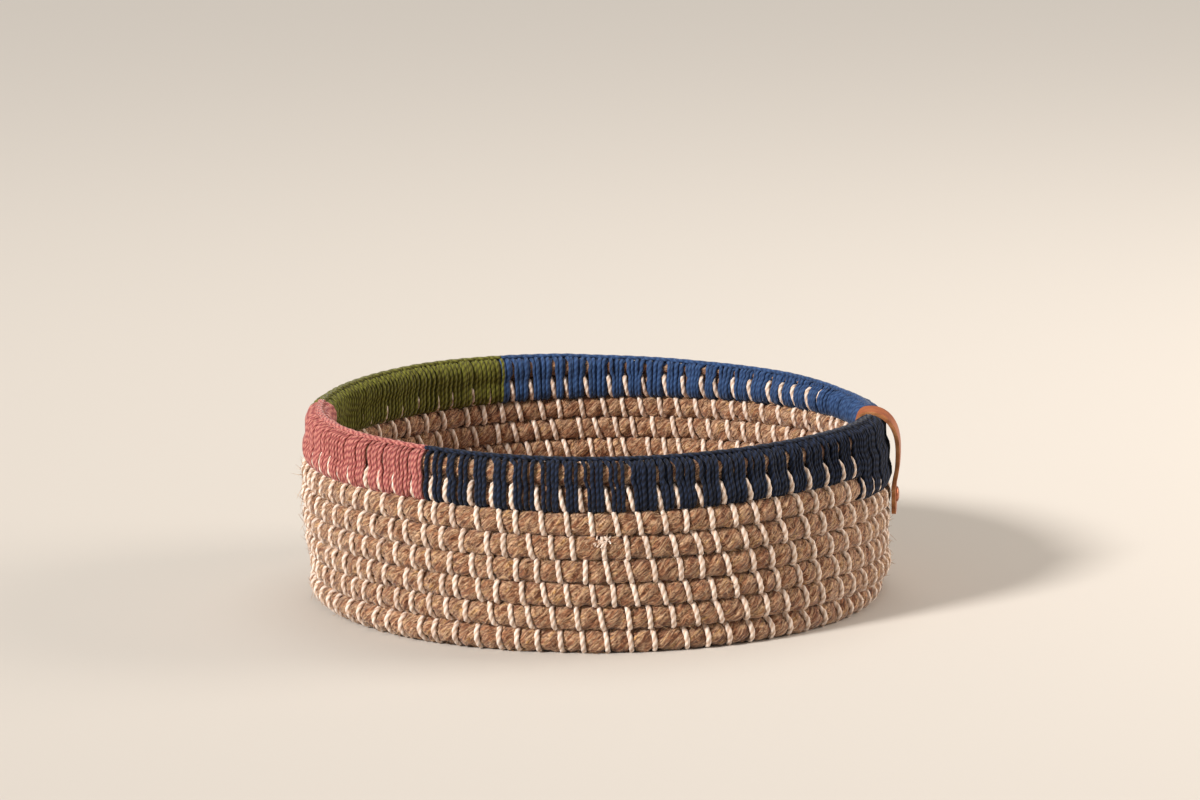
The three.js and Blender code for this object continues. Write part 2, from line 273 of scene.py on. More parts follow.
@dataclass(frozen=True)
class SpunFinish:
    """Spun cotton cord or yarn: plies twisted together, soft and matt, with a faint bloom of fibres.

    Uneven stretches and fluff are noises: length, width, detail and lean.
    """

    name: str
    colour: str
    hollow_shade: str
    crest_highlight: str
    ply_pitch: float = 2.6
    girth: float = 5.2
    relief: float = 0.6
    relief_depth: float = 0.28
    roughness: float = 0.85
    sheen: float = 0.3
    uneven: tuple[float, ...] = (12.0, 2.0, 2.0)
    fluff: tuple[float, ...] = (1.6, 0.22, 2.0, 30.0)
    uneven_share: float = 0.8
    fluff_share: float = 0.6
    fluff_height: float = 0.35

    def material(self) -> Material:
        """Builds the material.

        Returns:
            A material whose plies wind round the thread.
        """
        graph = Graph(self.name)
        place = graph.add("UVMap", "UV", {}, uv_map=UV_NAME)
        # One ridge each ply pitch along, shifting by two pitches a time around
        pitches = (FULL_TURN / self.ply_pitch, 2 * FULL_TURN / self.girth, 0)
        wound = graph.add("VectorMath", "Value", {0: place, 1: pitches}, operation="DOT_PRODUCT")
        inputs = {"Value": graph.maths("SINE", wound), "From Min": -1.0, "From Max": 1.0}
        ridge = graph.add("MapRange", "Result", inputs)
        # The plies' hollows get a darker colour and their crests a paler one, where the relief sinks and
        # rises: painted shade and painted highlight along the twist.
        plies = graph.ramp(ridge, (0.0, self.hollow_shade), (0.4, self.colour), (1.0, self.crest_highlight))
        shade = graph.ramp(graph.noise(place, *self.uneven), (0.3, "#D0C8C2"), (0.58, "#FFFFFF"))
        fuzz = graph.noise(place, *self.fluff)
        fluff = graph.ramp(fuzz, (0.3, "#D8D2CC"), (0.58, "#FFFFFF"))
        colour = graph.shaded(self.fluff_share, graph.shaded(self.uneven_share, plies, shade), fluff)
        height = graph.maths("MULTIPLY_ADD", fuzz, self.fluff_height, ridge)
        return graph.dress(
            Base_Color=colour, Normal=graph.bump(height, self.relief, self.relief_depth),
            Roughness=self.roughness, Specular_IOR_Level=0.25,
            Sheen_Weight=self.sheen, Sheen_Roughness=0.4,
        )


@dataclass(frozen=True)
class LeatherFinish:
    """Vegetable tanned cowhide: a smooth, waxed orange-brown face, or a paler fibrous cut edge.

    Its clouds are a noise: length, width and detail.
    """

    name: str
    dark: str
    colour: str
    pale: str
    pore: float = 0.5
    relief: float = 0.05
    roughness: float = 0.48
    clouds: Triple = (7.0, 4.0, 4.0)
    pore_share: float = 0.5
    pore_bump: float = 0.6

    def material(self) -> Material:
        """Builds the material.

        Returns:
            A material with the hide's cloudy tone and its pores.
        """
        graph = Graph(self.name)
        place = graph.add("TexCoord", "Object", {})
        cloud = graph.noise(place, *self.clouds, unit=1 / MM)
        tone = graph.ramp(cloud, (0.3, self.dark), (0.5, self.colour), (0.7, self.pale))
        inputs = {"Vector": place, "Scale": 1 / (self.pore * MM), "Randomness": 1.0}
        pores = graph.add("TexVoronoi", "Distance", inputs)
        specks = graph.ramp(pores, (0.05, "#C4C4C4"), (0.35, "#FFFFFF"))
        return graph.dress(
            Base_Color=graph.shaded(self.pore_share, tone, specks),
            Normal=graph.bump(pores, self.pore_bump, self.relief), Roughness=self.roughness,
        )


@dataclass(frozen=True)
class CopperFinish:
    """Copper-plated rivet: stamped, lightly brushed, dulled by handling.

    Its patches are a noise: length, width and detail.
    """

    name: str = "copper_rivet"
    colour: str = "#C98463"
    dull: str = "#9B5F45"
    roughness: float = 0.32
    patches: Triple = (1.5, 1.5, 4.0)

    def material(self) -> Material:
        """Builds the material.

        Returns:
            A metal with dull patches.
        """
        graph = Graph(self.name)
        cloud = graph.noise(graph.add("TexCoord", "Object", {}), *self.patches, unit=1 / MM)
        tone = graph.ramp(cloud, (0.35, self.dull), (0.6, self.colour))
        return graph.dress(Base_Color=tone, Metallic=1.0, Roughness=self.roughness)


@dataclass(frozen=True)
class FloorFinish:
    """Matt painted board: plain and pale."""

    name: str = "pale_board"
    colour: str = "#CDC8C1"
    roughness: float = 0.9

    def material(self) -> Material:
        """Builds the plain material."""
        return Graph(self.name).dress(Base_Color=linear(self.colour), Roughness=self.roughness)


CREAM = SpunFinish("cotton_cord", "#F5DFCE", "#D8BBA4", "#FFF1E6")
BLUE = SpunFinish("yarn_blue", "#2D4A78", "#263F69", "#3A5988", 2.2, 5.0, 0.22, sheen=0.2)
GREEN = SpunFinish("yarn_green", "#646320", "#4E4D19", "#787A2C", 2.2, 5.0, 0.22, sheen=0.2)
ROSE = SpunFinish("yarn_rose", "#B66862", "#8F474A", "#D08A7E", 2.2, 5.0, 0.3)
NAVY = SpunFinish("yarn_navy", "#111A2D", "#0A0F1C", "#202D48", 2.2, 5.0, 0.25, sheen=0.12)
SMOOTH_LEATHER = LeatherFinish("leather_face", "#7F3D1C", "#A05427", "#B46632")
CUT_LEATHER = LeatherFinish("leather_edge", "#7E4A28", "#A76C3F", "#C08A5A", 0.3, 0.12, 0.8)
FIBRES = JuteFinish(
    "jute_fibres", "#A77C59", "#CDA680", "#E2BE8C", "#EFD8BB", "#D9C2AC", "#C9AE96", sheen=0.1
)


# Meshes from rings of points


def run_length(points: Array) -> Array:
    """Distance of each point along a path."""
    return np.concatenate([[0], np.cumsum(np.linalg.norm(np.diff(points, axis=0), axis=1))])


@dataclass
class Tube:
    """A closed tube through rings of points.

    Attributes:
        rings: Points in millimetres, ring by ring: shape (rings, sides, 3).
        along: Distance of each ring along the tube, in millimetres.
        around: Distance round the tube of each side and of the seam: sides + 1 values.
    """

    rings: Array
    along: Array
    around: Array

    def _runs_inward(self) -> bool:
        """Tells whether its faces, as numbered, would point into it.

        Returns:
            True if the faces have to be turned round.
        """
        at = len(self.rings) // 2 - 1
        middle = self.rings[at].mean(0)
        spokes = self.rings[at] - middle
        area = np.cross(spokes, np.roll(spokes, -1, axis=0)).sum(0)
        return float(area @ (self.rings[at + 1].mean(0) - middle)) < 0

    def faces(self) -> list[tuple[Array, Array]]:
        """Numbers the faces: its walls, then its two ends.

        Returns:
            For each of these groups, the ring and the side of each corner, one row for a face.
        """
        count, sides, _ = self.rings.shape
        ring, side = (part.reshape(-1, 1) for part in np.mgrid[: count - 1, :sides])
        lap = np.arange(sides)[None]
        groups = [
            (ring + (0, 0, 1, 1), side + (0, 1, 1, 0)),
            (0 * lap, lap[:, ::-1]),
            (0 * lap + count - 1, lap),
        ]
        way = -1 if self._runs_inward() else 1
        return [(row[:, ::way], column[:, ::way]) for row, column in groups]


def make_piece(name: str, tubes: Sequence[Tube], material: Material) -> Piece:
    """Makes one piece out of closed tubes.

    Args:
        name: Name of the piece.
        tubes: The tubes, none empty.
        material: Finish of the piece.

    Returns:
        The piece, smooth, with distances in millimetres as its UV map.
    """
    points, corners, uvs, sizes, first = [], [], [], [], 0
    for tube in tubes:
        sides = tube.rings.shape[1]
        points.append(tube.rings.reshape(-1, 3))
        for ring, side in tube.faces():
            corners.append((first + ring * sides + side % sides).ravel())
            uvs.append(np.stack([tube.along[ring], tube.around[side]], -1).ravel())
            sizes.append(np.full(len(ring), ring.shape[1]))
        first += len(points[-1])
    size = np.concatenate(sizes)
    mesh = bpy.data.meshes.new(name)
    mesh.vertices.add(first)
    mesh.vertices.foreach_set("co", (np.concatenate(points) * MM).astype(np.float32).ravel())
    mesh.loops.add(int(size.sum()))
    mesh.loops.foreach_set("vertex_index", np.concatenate(corners).astype(np.int32))
    mesh.polygons.add(len(size))
    mesh.polygons.foreach_set("loop_start", (np.cumsum(size) - size).astype(np.int32))
    mesh.polygons.foreach_set("use_smooth", np.ones(len(size), bool))
    mesh.uv_layers.new(name=UV_NAME).data.foreach_set("uv", np.concatenate(uvs).astype(np.float32))
    mesh.update(calc_edges=True)
    mesh.materials.append(material)
    piece = bpy.data.objects.new(name, mesh)
    bpy.context.scene.collection.objects.link(piece)
    return piece


def settle(piece: Piece, slot: str, *nodes: str) -> None:
    """Fastens a finished piece to the part and reports it.

    Args:
        piece: The finished piece.
        slot: The record's material slot for its finish; not used.
        nodes: CAD nodes that it stands for.
    """
    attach(piece, BODY)
    if nodes:
        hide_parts(*nodes)
    log.info("%s: %d faces", piece.name, len(piece.data.polygons))


# The coil that everything follows


@dataclass(frozen=True)
class Coil:
    """Line that the middle of the rope follows: a flat spiral, then a rounded wall.

    A turn is counted clockwise from where the climb starts, and is negative in the base. Angles in a
    section of the rope run from 0, straight out, through a quarter turn, straight up. The two climbs
    are humps in every turn: middle and width as shares of a turn, and height in courses. They grow
    over the fade's first value in turns, and end at its second after fading over its third.
    """

    rope_radius: float = 4.0
    base_height: float = 4.0
    course_rise: float = 7.93
    course_spread: float = 8.0
    foot_radius: float = 93.3
    belly_radius: float = 97.6
    rim_radius: float = 95.3
    belly_share: float = 0.62
    heart_offset: float = 1.0
    heart_stops: int = 25
    lead_in: float = 2.5
    squareness: float = 2.5
    wall_turns: int = 7
    climb_place: float = 272 / 360
    end_turn: float = 7.7
    thin_places: tuple[float, ...] = (20, 29, 43, 54, 66, 73, 89, 97, 111, 123, 132)
    thin_shares: tuple[float, ...] = (0, 0.1, 0.25, 0.32, 0.41, 0.49, 0.65, 0.77, 0.88, 0.96, 1)
    left_climb: Triple = (0.125, 0.07, 0.13)
    right_climb: Triple = (0.865, 0.09, 0.2)
    fade: Triple = (0.85, 8.0, 1.5)
    foot_fullness: float = 0.04
    front_fullness: float = 1.0
    full_width: float = 0.15
    full_turns: float = 6.0
    base_step: float = 0.004
    wall_step: float = 0.0007
    table: dict[str, Array] = field(init=False, repr=False)

    def __post_init__(self) -> None:
        """Works out the table of the line once."""
        object.__setattr__(self, "table", self._walk())

    def place_of(self, turn: Array | float) -> Array | float:
        """Angle round the basket, in radians, of a turn of the rope."""
        return FULL_TURN * (self.climb_place - turn)

    def rim_turn(self, place_degrees: float) -> float:
        """Turn of the rope that lies on the rim at a place in degrees."""
        return self.wall_turns + self.climb_place - place_degrees / 360

    def share(self, turn: Array) -> Array:
        """Gives the thickness of the rope, which thins along the rim.

        Args:
            turn: Turns along the coil.

        Returns:
            Shares of the full thickness.
        """
        place = (self.wall_turns + self.climb_place - turn) * 360
        thin = np.interp(place, self.thin_places, self.thin_shares)
        return np.where(turn < self.wall_turns, 1.0, thin)

    def _hump(self, turn: Array, middle: float, width: float, height: float) -> Array:
        """Height of a hump that comes back in every turn."""
        away = np.mod(turn - middle + 0.5, 1) - 0.5
        return height * np.exp(-((away / width) ** 2))

    def _fullness(self, turn: Array) -> Array:
        """How far the foot stands out towards the belly, from 0 to 1."""
        more = self.front_fullness - self.foot_fullness
        return self.foot_fullness + self._hump(turn, self.right_climb[0], self.full_width, more)

    def _flat_radius(self, turn: Array) -> Array:
        """Gives the flat spiral, which stands out where the wall rises straight from it.

        Args:
            turn: Turns along the coil.

        Returns:
            Radii in millimetres.
        """
        more = self._fullness(turn) * (self.belly_radius - self.foot_radius)
        more *= np.clip(1 + turn / self.full_turns, 0, 1)
        return self.foot_radius + self.course_spread * turn + more

    def line(self, turn: Array | float) -> tuple[Array, Array, Array]:
        """Gives the place of the rope's middle.

        Args:
            turn: Turns along the coil.

        Returns:
            Radius and height in millimetres, and the thickness share.
        """
        turn = np.asarray(turn, float)
        share = self.share(turn)
        grown, gone, fading = self.fade
        climb = self._hump(turn, *self.left_climb) + self._hump(turn, *self.right_climb)
        climb *= np.clip(turn / grown, 0, 1) * np.clip((gone - turn) / fading, 0, 1)
        rise = self.course_rise * (np.where(share < 1, turn - 1 + (1 + share) / 2, turn) + climb)
        rise = np.maximum(rise, 0)
        top = self.course_rise * self.wall_turns
        up = np.minimum(rise, top) / top
        belly = self.foot_radius + (self.belly_radius - self.foot_radius) * np.sin(
            np.minimum(up / self.belly_share, 1) * math.pi / 2
        )
        belly += self._fullness(turn) * (self.belly_radius - belly)
        above = np.maximum(up - self.belly_share, 0) / (1 - self.belly_share)
        wall = belly - (self.belly_radius - self.rim_radius) * above**2
        rolled = self._flat_radius(turn - 1) + np.sqrt(np.maximum(self.course_spread**2 - rise**2, 0))
        radius = np.where(turn < 1, np.maximum(wall, np.minimum(rolled, self.belly_radius)), wall)
        radius = np.where(turn <= 0, self._flat_radius(turn), radius)
        return radius, self.base_height + rise, share

    def _neighbour(self, turn: Array, step: int) -> tuple[Array, Array]:
        """Direction of the course next to this one, as an angle in the rope's section, and its distance.

        Args:
            turn: Turns along the coil.
            step: 1 for the next course, -1 for the one before.

        Returns:
            Angles in radians, downwards and inwards negative for the course before, and this course's
            part of the distance between the two middles.
        """
        radius, height, share = self.line(turn)
        other_radius, other_height, other_share = self.line(turn + step)
        angle = np.arctan2(other_height - height, other_radius - radius)
        both = share + other_share
        part = np.hypot(other_height - height, other_radius - radius) * share
        part /= np.where(both > 0, both, 1)
        if step < 0:
            return np.where(angle > 0, angle - FULL_TURN, angle), part
        free = turn > self.end_turn - 1
        return np.where(free, math.pi / 2, angle), np.where(free, self.course_spread, part)

    def bulk(self, off: Array | float) -> Array | float:
        """How much fuller than a circle the pressed rope is, off the middle of its two neighbours."""
        power = self.squareness
        return (np.abs(np.cos(off)) ** power + np.abs(np.sin(off)) ** power) ** (-1 / power)

    def _walk(self) -> dict[str, Array]:
        """Follows the line in small steps.

        Returns:
            Table of distance, place, outward direction, turn, share and neighbours' directions.
        """
        first = -(self.foot_radius - self.course_spread + self.heart_offset) / self.course_spread
        wall = np.linspace(0, self.end_turn, int(self.end_turn / self.wall_step))
        turn = np.concatenate([np.arange(first, 0, self.base_step), wall])
        angle = self.place_of(turn)
        radius, height, _ = self.line(turn)
        points = np.stack([radius * np.cos(angle), radius * np.sin(angle), height], -1)
        # The heart: a straight end that bends round into the spiral
        across = np.array([math.cos(angle[0]), math.sin(angle[0])])
        along = np.array([-across[1], across[0]])
        bend = (radius[0] + self.heart_offset) / 2
        swing = np.linspace(math.pi, 0, self.heart_stops)[:-1]
        bent = bend * (np.cos(swing)[:, None] * across + np.sin(swing)[:, None] * along)
        bent = across * (radius[0] - bend) + bent
        heart = np.vstack([bent[0] - self.lead_in * along, bent])
        heart = np.column_stack([heart, np.full(len(heart), self.base_height)])
        points = np.vstack([heart, points])
        turn = np.concatenate([np.full(len(heart), turn[0]), turn])
        after, after_part = self._neighbour(turn, 1)
        before, before_part = self._neighbour(turn, -1)
        return {
            "distance": run_length(points), "points": points, "turn": turn, "share": self.share(turn),
            "outward": np.concatenate([[math.pi + angle[0]], swing + angle[0], angle]),
            "after": after, "before": before, "after_part": after_part, "before_part": before_part,
        }

    def at(self, distance: Array) -> dict[str, Array]:
        """Reads the line at distances along the rope.

        Args:
            distance: Distances in millimetres from the rope's start, of any shape.

        Returns:
            The table's columns there: points and outward as vectors, the rest as numbers.
        """
        known = self.table["distance"]
        read = {
            name: np.interp(distance, known, column)
            for name, column in self.table.items() if column.ndim == 1
        }
        axes = [np.interp(distance, known, axis) for axis in self.table["points"].T]
        read["points"] = np.stack(axes, -1)
        angle = read["outward"]
        read["outward"] = np.stack([np.cos(angle), np.sin(angle), np.zeros_like(angle)], -1)
        return read

    def distance_of(self, turn: Array | float) -> Array | float:
        """Distance along the rope of a turn, from the spiral's start on."""
        return np.interp(turn, self.table["turn"], self.table["distance"])

    def turn_at(self, distance: Array) -> Array:
        """Turn of the rope at a distance along it."""
        return np.interp(distance, self.table["distance"], self.table["turn"])


def on_section(line: dict[str, Array], reach: Array, angle: Array) -> tuple[Array, Array]:
    """Places points round the rope's section.

    Args:
        line: The coil's columns at the sections.
        reach: Distances from the middles.
        angle: Angles in the sections.

    Returns:
        The points, and the directions from the middles to them.
    """
    spoke = line["outward"] * np.cos(angle)[..., None] + UP * np.sin(angle)[..., None]
    return line["points"] + spoke * reach[..., None], spoke


@dataclass
class StitchPlan:
    """Where each stitch crosses the rope, and how far it leans.

    The cord winds round the rope against its run. It crosses the outer side, or the underside in the
    base, slips back between two courses, and crosses the inner side, or the top of the base. A jitter
    is the spread of random shifts and the limit that they keep to.
    """

    coil: Coil
    per_turn: float = 76.66
    base_spacing: float = 8.0
    crowding_share: float = 0.09
    crowding_place: float = 240.0
    jitter: Pair = (0.7, 1.5)
    lean: float = 1.7
    lean_places: tuple[float, ...] = (0, 90, 180, 222, 250, 270, 310, 360)
    lean_there: tuple[float, ...] = (2.3, 1.7, -0.4, -0.6, 0.9, 1.9, 2.8, 2.3)
    lean_jitter: Pair = (0.8, 2.0)
    inner_lean: float = 2.6
    inner_jitter: Pair = (0.6, 1.4)
    slip: float = 1.9
    dent: float = 1.15
    dent_width: float = 1.45
    pit: float = 0.6
    centres: Array = field(init=False)
    leans: Array = field(init=False)
    inner_leans: Array = field(init=False)

    def __post_init__(self) -> None:
        """Lays the stitches out along the rope."""
        random = np.random.default_rng(SEED)
        distance, turn = self.coil.table["distance"], self.coil.table["turn"]
        # The stitches crowd and thin out twice a turn
        swing = self.crowding_share * self.per_turn / (2 * FULL_TURN)
        shift = 2 * FULL_TURN * (self.coil.climb_place - self.crowding_place / 360)
        wave = swing * (np.sin(2 * FULL_TURN * turn - shift) + math.sin(shift))
        flat = (distance - self.coil.distance_of(0.0)) / self.base_spacing
        phase = np.where(turn < 0, flat, self.per_turn * turn + wave)
        stop = np.interp(self.coil.end_turn - 1, turn, phase)
        count = np.arange(math.ceil(phase[0] + 1), math.floor(stop))
        shifts = [
            np.clip(random.normal(0, spread, len(count)), -limit, limit)
            for spread, limit in (self.jitter, self.lean_jitter, self.inner_jitter)
        ]
        self.centres = np.interp(count, phase, distance) + shifts[0]
        place = np.mod(np.degrees(self.coil.place_of(self.coil.turn_at(self.centres))), 360)
        self.leans = np.interp(place, self.lean_places, self.lean_there) + shifts[1]
        self.inner_leans = self.inner_lean + shifts[2]

    def crossing(self, which: Array, outer: Array | bool, share: Array | float) -> Array:
        """Distances along the rope where stitches cross it.

        Args:
            which: Numbers of the stitches.
            outer: Whether each is asked for on its outer side.
            share: How much of that side it has crossed there.

        Returns:
            Distances in millimetres.
        """
        centre, lean = self.centres[which], self.leans[which]
        back = centre - lean / 2 - self.slip - self.inner_leans[which] * share
        return np.where(outer, centre + lean * (0.5 - share), back)

    def seen_turns(self, side: Side) -> Array:
        """Turns of the rope where the stitches cross the middle of a side."""
        every = np.arange(len(self.centres))
        return self.coil.turn_at(self.crossing(every, side is Side.OUTER, 0.5))

    def sink(self, distance: Array, angle: Array, line: dict[str, Array]) -> Array:
        """How far the stitches press the rope in.

        Args:
            distance: Distances along the rope, as a column.
            angle: Angles in its section, one row per distance.
            line: The coil's columns there.

        Returns:
            Depths in millimetres, like the angles.
        """
        turned = np.mod(line["after"] - angle, FULL_TURN)
        span = np.mod(line["after"] - line["before"], FULL_TURN)
        outer = turned < span
        share = np.where(outer, turned / span, (turned - span) / (FULL_TURN - span))
        rough = distance + np.where(outer, 0.0, self.slip + (self.lean + self.inner_lean) / 2)
        near = np.searchsorted(self.centres, rough)
        least = np.full(share.shape, np.inf)
        for step in (-2, -1, 0, 1):
            which = np.clip(near + step, 0, len(self.centres) - 1)
            least = np.minimum(least, np.abs(distance - self.crossing(which, outer, share)))
        pit = 1 + self.pit * (2 * share - 1) ** 2
        return self.dent * pit * np.exp(-((least / self.dent_width) ** 2))


@dataclass
class Lumps:
    """Soft random lumps over the rope's surface."""

    length: float
    cell: float
    lanes: int
    seed: int
    heights: Array = field(init=False)

    def __post_init__(self) -> None:
        """Draws the lumps' heights."""
        random = np.random.default_rng(self.seed)
        self.heights = random.normal(0, 1, (int(self.length / self.cell) + 3, self.lanes))

    def at(self, distance: Array, lane: Array) -> Array:
        """Reads the height of the lumps.

        Args:
            distance: Distances along the rope.
            lane: Angles round the rope in its own twist.

        Returns:
            Heights, with a spread of about 0.6.
        """
        row, column = distance / self.cell, np.mod(lane / FULL_TURN, 1) * self.lanes
        low, left = np.floor(row).astype(int), np.floor(column).astype(int)
        up, over = (part * part * (3 - 2 * part) for part in (row - low, column - left))
        right, left = (left + 1) % self.lanes, left % self.lanes
        near, far = (
            self.heights[at, left] * (1 - over) + self.heights[at, right] * over for at in (low, low + 1)
        )
        return near * (1 - up) + far * up


@dataclass
class JuteRope:
    """The rope itself: three strands laid together, pressed in by each stitch.

    Where it faces the next course by more than the wide facing, a cosine, it keeps clear of it. By
    more than the tight facing it touches it, if the course is within the tight reach, in radii. Each
    kind of lump is its length along the rope and how many go round it.
    """

    coil: Coil
    plan: StitchPlan
    finish: JuteFinish = JuteFinish()
    lay_length: float = 27.0
    strands: int = 3
    sides_per_strand: int = 7
    groove_share: float = 0.17
    groove_power: float = 2.4
    base_step: float = 1.4
    wall_step: float = 1.0
    swell: float = 0.46
    lump_kinds: tuple[tuple[float, int], ...] = ((3.4, 7), (1.7, 13), (0.95, 23))
    lump: float = 0.2
    fine_share: float = 0.7
    tuft: float = 0.16
    touch_share: float = 0.998
    wide_facing: float = 0.3
    tight_facing: float = 0.93
    tight_reach: float = 1.2
    yarn_places: Pair = (359.0, 332.0)
    yarn_edge: float = 0.003
    floor_gap: float = 0.15
    lumps: list[Lumps] = field(init=False)

    def __post_init__(self) -> None:
        """Draws the rope's coarse lumps, fine lumps and tufts."""
        length = float(self.coil.table["distance"][-1])
        self.lumps = [
            Lumps(length, *kind, SEED + 3 + number) for number, kind in enumerate(self.lump_kinds)
        ]

    def build(self) -> None:
        """Makes the rope of the base and the rope of the wall."""
        material = self.finish.material()
        middle, end = float(self.coil.distance_of(0.0)), float(self.coil.table["distance"][-1])
        for name, node, *reach in (
            ("jute_base", "base_coil", 0.0, middle, self.base_step),
            ("jute_wall", "wall_coil", middle, end, self.wall_step),
        ):
            settle(make_piece(name, [self._tube(*reach)], material), "jute", node)

    def surface(self, distance: Array, lane: Array) -> tuple[Array, Array]:
        """Places points on the rope's surface.

        Args:
            distance: Distances along the rope, as a column.
            lane: Angles round the rope in its own twist, as a row.

        Returns:
            The points in millimetres, and the directions out of the rope there.
        """
        line = self.coil.at(distance)
        angle = lane - FULL_TURN * distance / self.lay_length
        strand = FULL_TURN / self.strands
        off_crest = np.abs(np.mod(lane, strand) / strand - 0.5) * 2
        radius = self.coil.rope_radius * (1 - self.groove_share * off_crest**self.groove_power)
        bare = 1 - self._covered(line["turn"])
        fuller = self.coil.bulk(angle - (line["after"] + line["before"]) / 2) - 1
        radius = radius * (1 + bare * fuller)
        coarse, fine, tufts = (lumps.at(distance, lane) for lumps in self.lumps)
        lumps = self.lump * (coarse + self.fine_share * fine) + self.tuft * tufts + self.swell
        reach = line["share"] * (radius + bare * lumps - self.plan.sink(distance, angle, line))
        for side in ("after", "before"):
            facing = np.maximum(np.cos(angle - line[side]), self.wide_facing)
            touch = self.touch_share * line[side + "_part"] / facing
            reach = np.where(facing > self.wide_facing, np.minimum(reach, touch), reach)
            near = line[side + "_part"] < self.tight_reach * self.coil.rope_radius
            reach = np.where((facing > self.tight_facing) & near, touch, reach)
        points, spokes = on_section(line, reach, angle)
        points[..., 2] = np.maximum(points[..., 2], self.floor_gap)
        return points, spokes

    def _covered(self, turn: Array) -> Array:
        """How far the rope lies under the yarn, which squeezes it smooth and thin.

        Args:
            turn: Turns of the rope.

        Returns:
            Shares, 0 where it is bare and 1 where it is covered.
        """
        end, tall = (self.coil.rim_turn(place) for place in self.yarn_places)
        edge = self.yarn_edge
        turns = (end - 2 - edge, end - 2, tall - 2, tall - 2 + edge, end - 1 - edge, end - 1)
        return np.interp(turn, turns, (0, 1, 1, 0, 0, 1))

    def _tube(self, start: float, end: float, step: float) -> Tube:
        """Makes a length of rope.

        Args:
            start: Distance along the rope where it starts.
            end: Distance where it ends.
            step: Distance between its rings.

        Returns:
            The tube, with its rings turning with the strands.
        """
        sides = self.strands * self.sides_per_strand
        distance = np.linspace(start, end, int((end - start) / step))[:, None]
        around = np.arange(sides + 1) / sides * FULL_TURN
        points, _ = self.surface(distance, around[None, :-1])
        return Tube(points, distance[:, 0], around * self.coil.rope_radius)


def cord_tube(
    points: Array, outward: Array, width: float | Array, thickness: float, sides: int = 6,
    ply_pitch: float = 1.0, ply_depth: float = 0.0,
) -> Tube:
    """Sweeps an oval section along a path on the rope.

    Args:
        points: The path in millimetres.
        outward: Direction out of the rope at each point.
        width: Half width of the section along the rope.
        thickness: Half thickness of it out of the rope.
        sides: Corners of the section.
        ply_pitch: Length in which one ply makes way for the next, as in the finish.
        ply_depth: How far the plies stand out, as a share of the section.

    Returns:
        The swept tube.
    """
    run = np.gradient(points, axis=0)
    run /= np.linalg.norm(run, axis=1, keepdims=True)
    beside = np.cross(run, outward)
    beside /= np.maximum(np.linalg.norm(beside, axis=1, keepdims=True), 1e-6)
    up = np.cross(beside, run)
    corner = (np.arange(sides) + 0.5) / sides * FULL_TURN
    wide = np.broadcast_to(np.asarray(width, float).reshape(-1, 1), (len(points), 1))
    along = run_length(points)
    around = 2 * np.arange(sides) / sides * FULL_TURN
    plies = 1 + ply_depth * np.sin(FULL_TURN * along[:, None] / ply_pitch + around[None])
    rings = (
        points[:, None]
        + up[:, None] * (plies * thickness * np.sin(corner)[None])[..., None]
        + beside[:, None] * (plies * wide * np.cos(corner)[None])[..., None]
    )
    girth = FULL_TURN * (float(np.mean(wide)) + thickness) / 2
    return Tube(rings, along, np.arange(sides + 1) / sides * girth)


@dataclass
class Stitching:
    """Cotton cord sewn round every course of the rope but the topmost.

    The stitches at the hidden places, which are buried under the tall end of the yarn, are left out.
    """

    coil: Coil
    plan: StitchPlan
    finish: SpunFinish = CREAM
    half_width: float = 0.9
    half_thickness: float = 0.8
    ply_depth: float = 0.11
    outer_stops: int = 20
    inner_shares: tuple[float, ...] = (0.0, 0.05, 0.12, 0.22, 0.34, 0.5, 0.66, 0.78, 0.88, 0.95, 1.0)
    proud: float = 0.18
    dive: float = 1.1
    dive_power: int = 7
    press: float = 0.22
    hidden_places: Pair = (331.0, 357.0)
    floor_gap: float = 0.05

    def build(self) -> None:
        """Makes the stitches of the base and of the wall."""
        material = self.finish.material()
        turn = self.coil.turn_at(self.plan.centres)
        last, first = (self.coil.rim_turn(place) - 1 for place in self.hidden_places)
        shown = (turn < first) | (turn > last)
        on_wall = self.plan.centres >= float(self.coil.distance_of(0.0))
        for name, chosen in (("stitches_base", shown & ~on_wall), ("stitches_wall", shown & on_wall)):
            numbers = np.flatnonzero(chosen)
            runs = np.split(numbers, np.flatnonzero(np.diff(numbers) > 1) + 1)
            tubes = [self._tube(run[::-1, None]) for run in runs]
            settle(make_piece(name, tubes, material), "cotton_cord")

    def _tube(self, run: Array) -> Tube:
        """Sews one run of stitches.

        Args:
            run: Stitch numbers in sewing order, as a column.

        Returns:
            The cord as a tube.
        """
        out, back = np.linspace(0, 1, self.outer_stops)[None], np.array(self.inner_shares)[None]
        distance = np.hstack([self.plan.crossing(run, True, out), self.plan.crossing(run, False, back)])
        share = np.hstack([out, back]) + 0 * distance
        line = self.coil.at(distance)
        span = np.mod(line["after"] - line["before"], FULL_TURN)
        outside = np.arange(share.shape[1]) < self.outer_stops
        angle = np.where(
            outside, line["after"] - span * share, line["before"] - (FULL_TURN - span) * share
        )
        edge = np.abs(2 * share - 1)
        bulk = self.coil.bulk(angle - (line["after"] + line["before"]) / 2)
        reach = line["share"] * self.coil.rope_radius * bulk + self.proud
        reach -= self.dive * edge**self.dive_power + self.press * (1 - edge**2)
        points, spokes = (found.reshape(-1, 3) for found in on_section(line, reach, angle))
        tube = cord_tube(
            points, spokes, self.half_width, self.half_thickness,
            ply_pitch=self.finish.ply_pitch, ply_depth=self.ply_depth,
        )
        tube.rings[..., 2] = np.maximum(tube.rings[..., 2], self.floor_gap)
        return tube


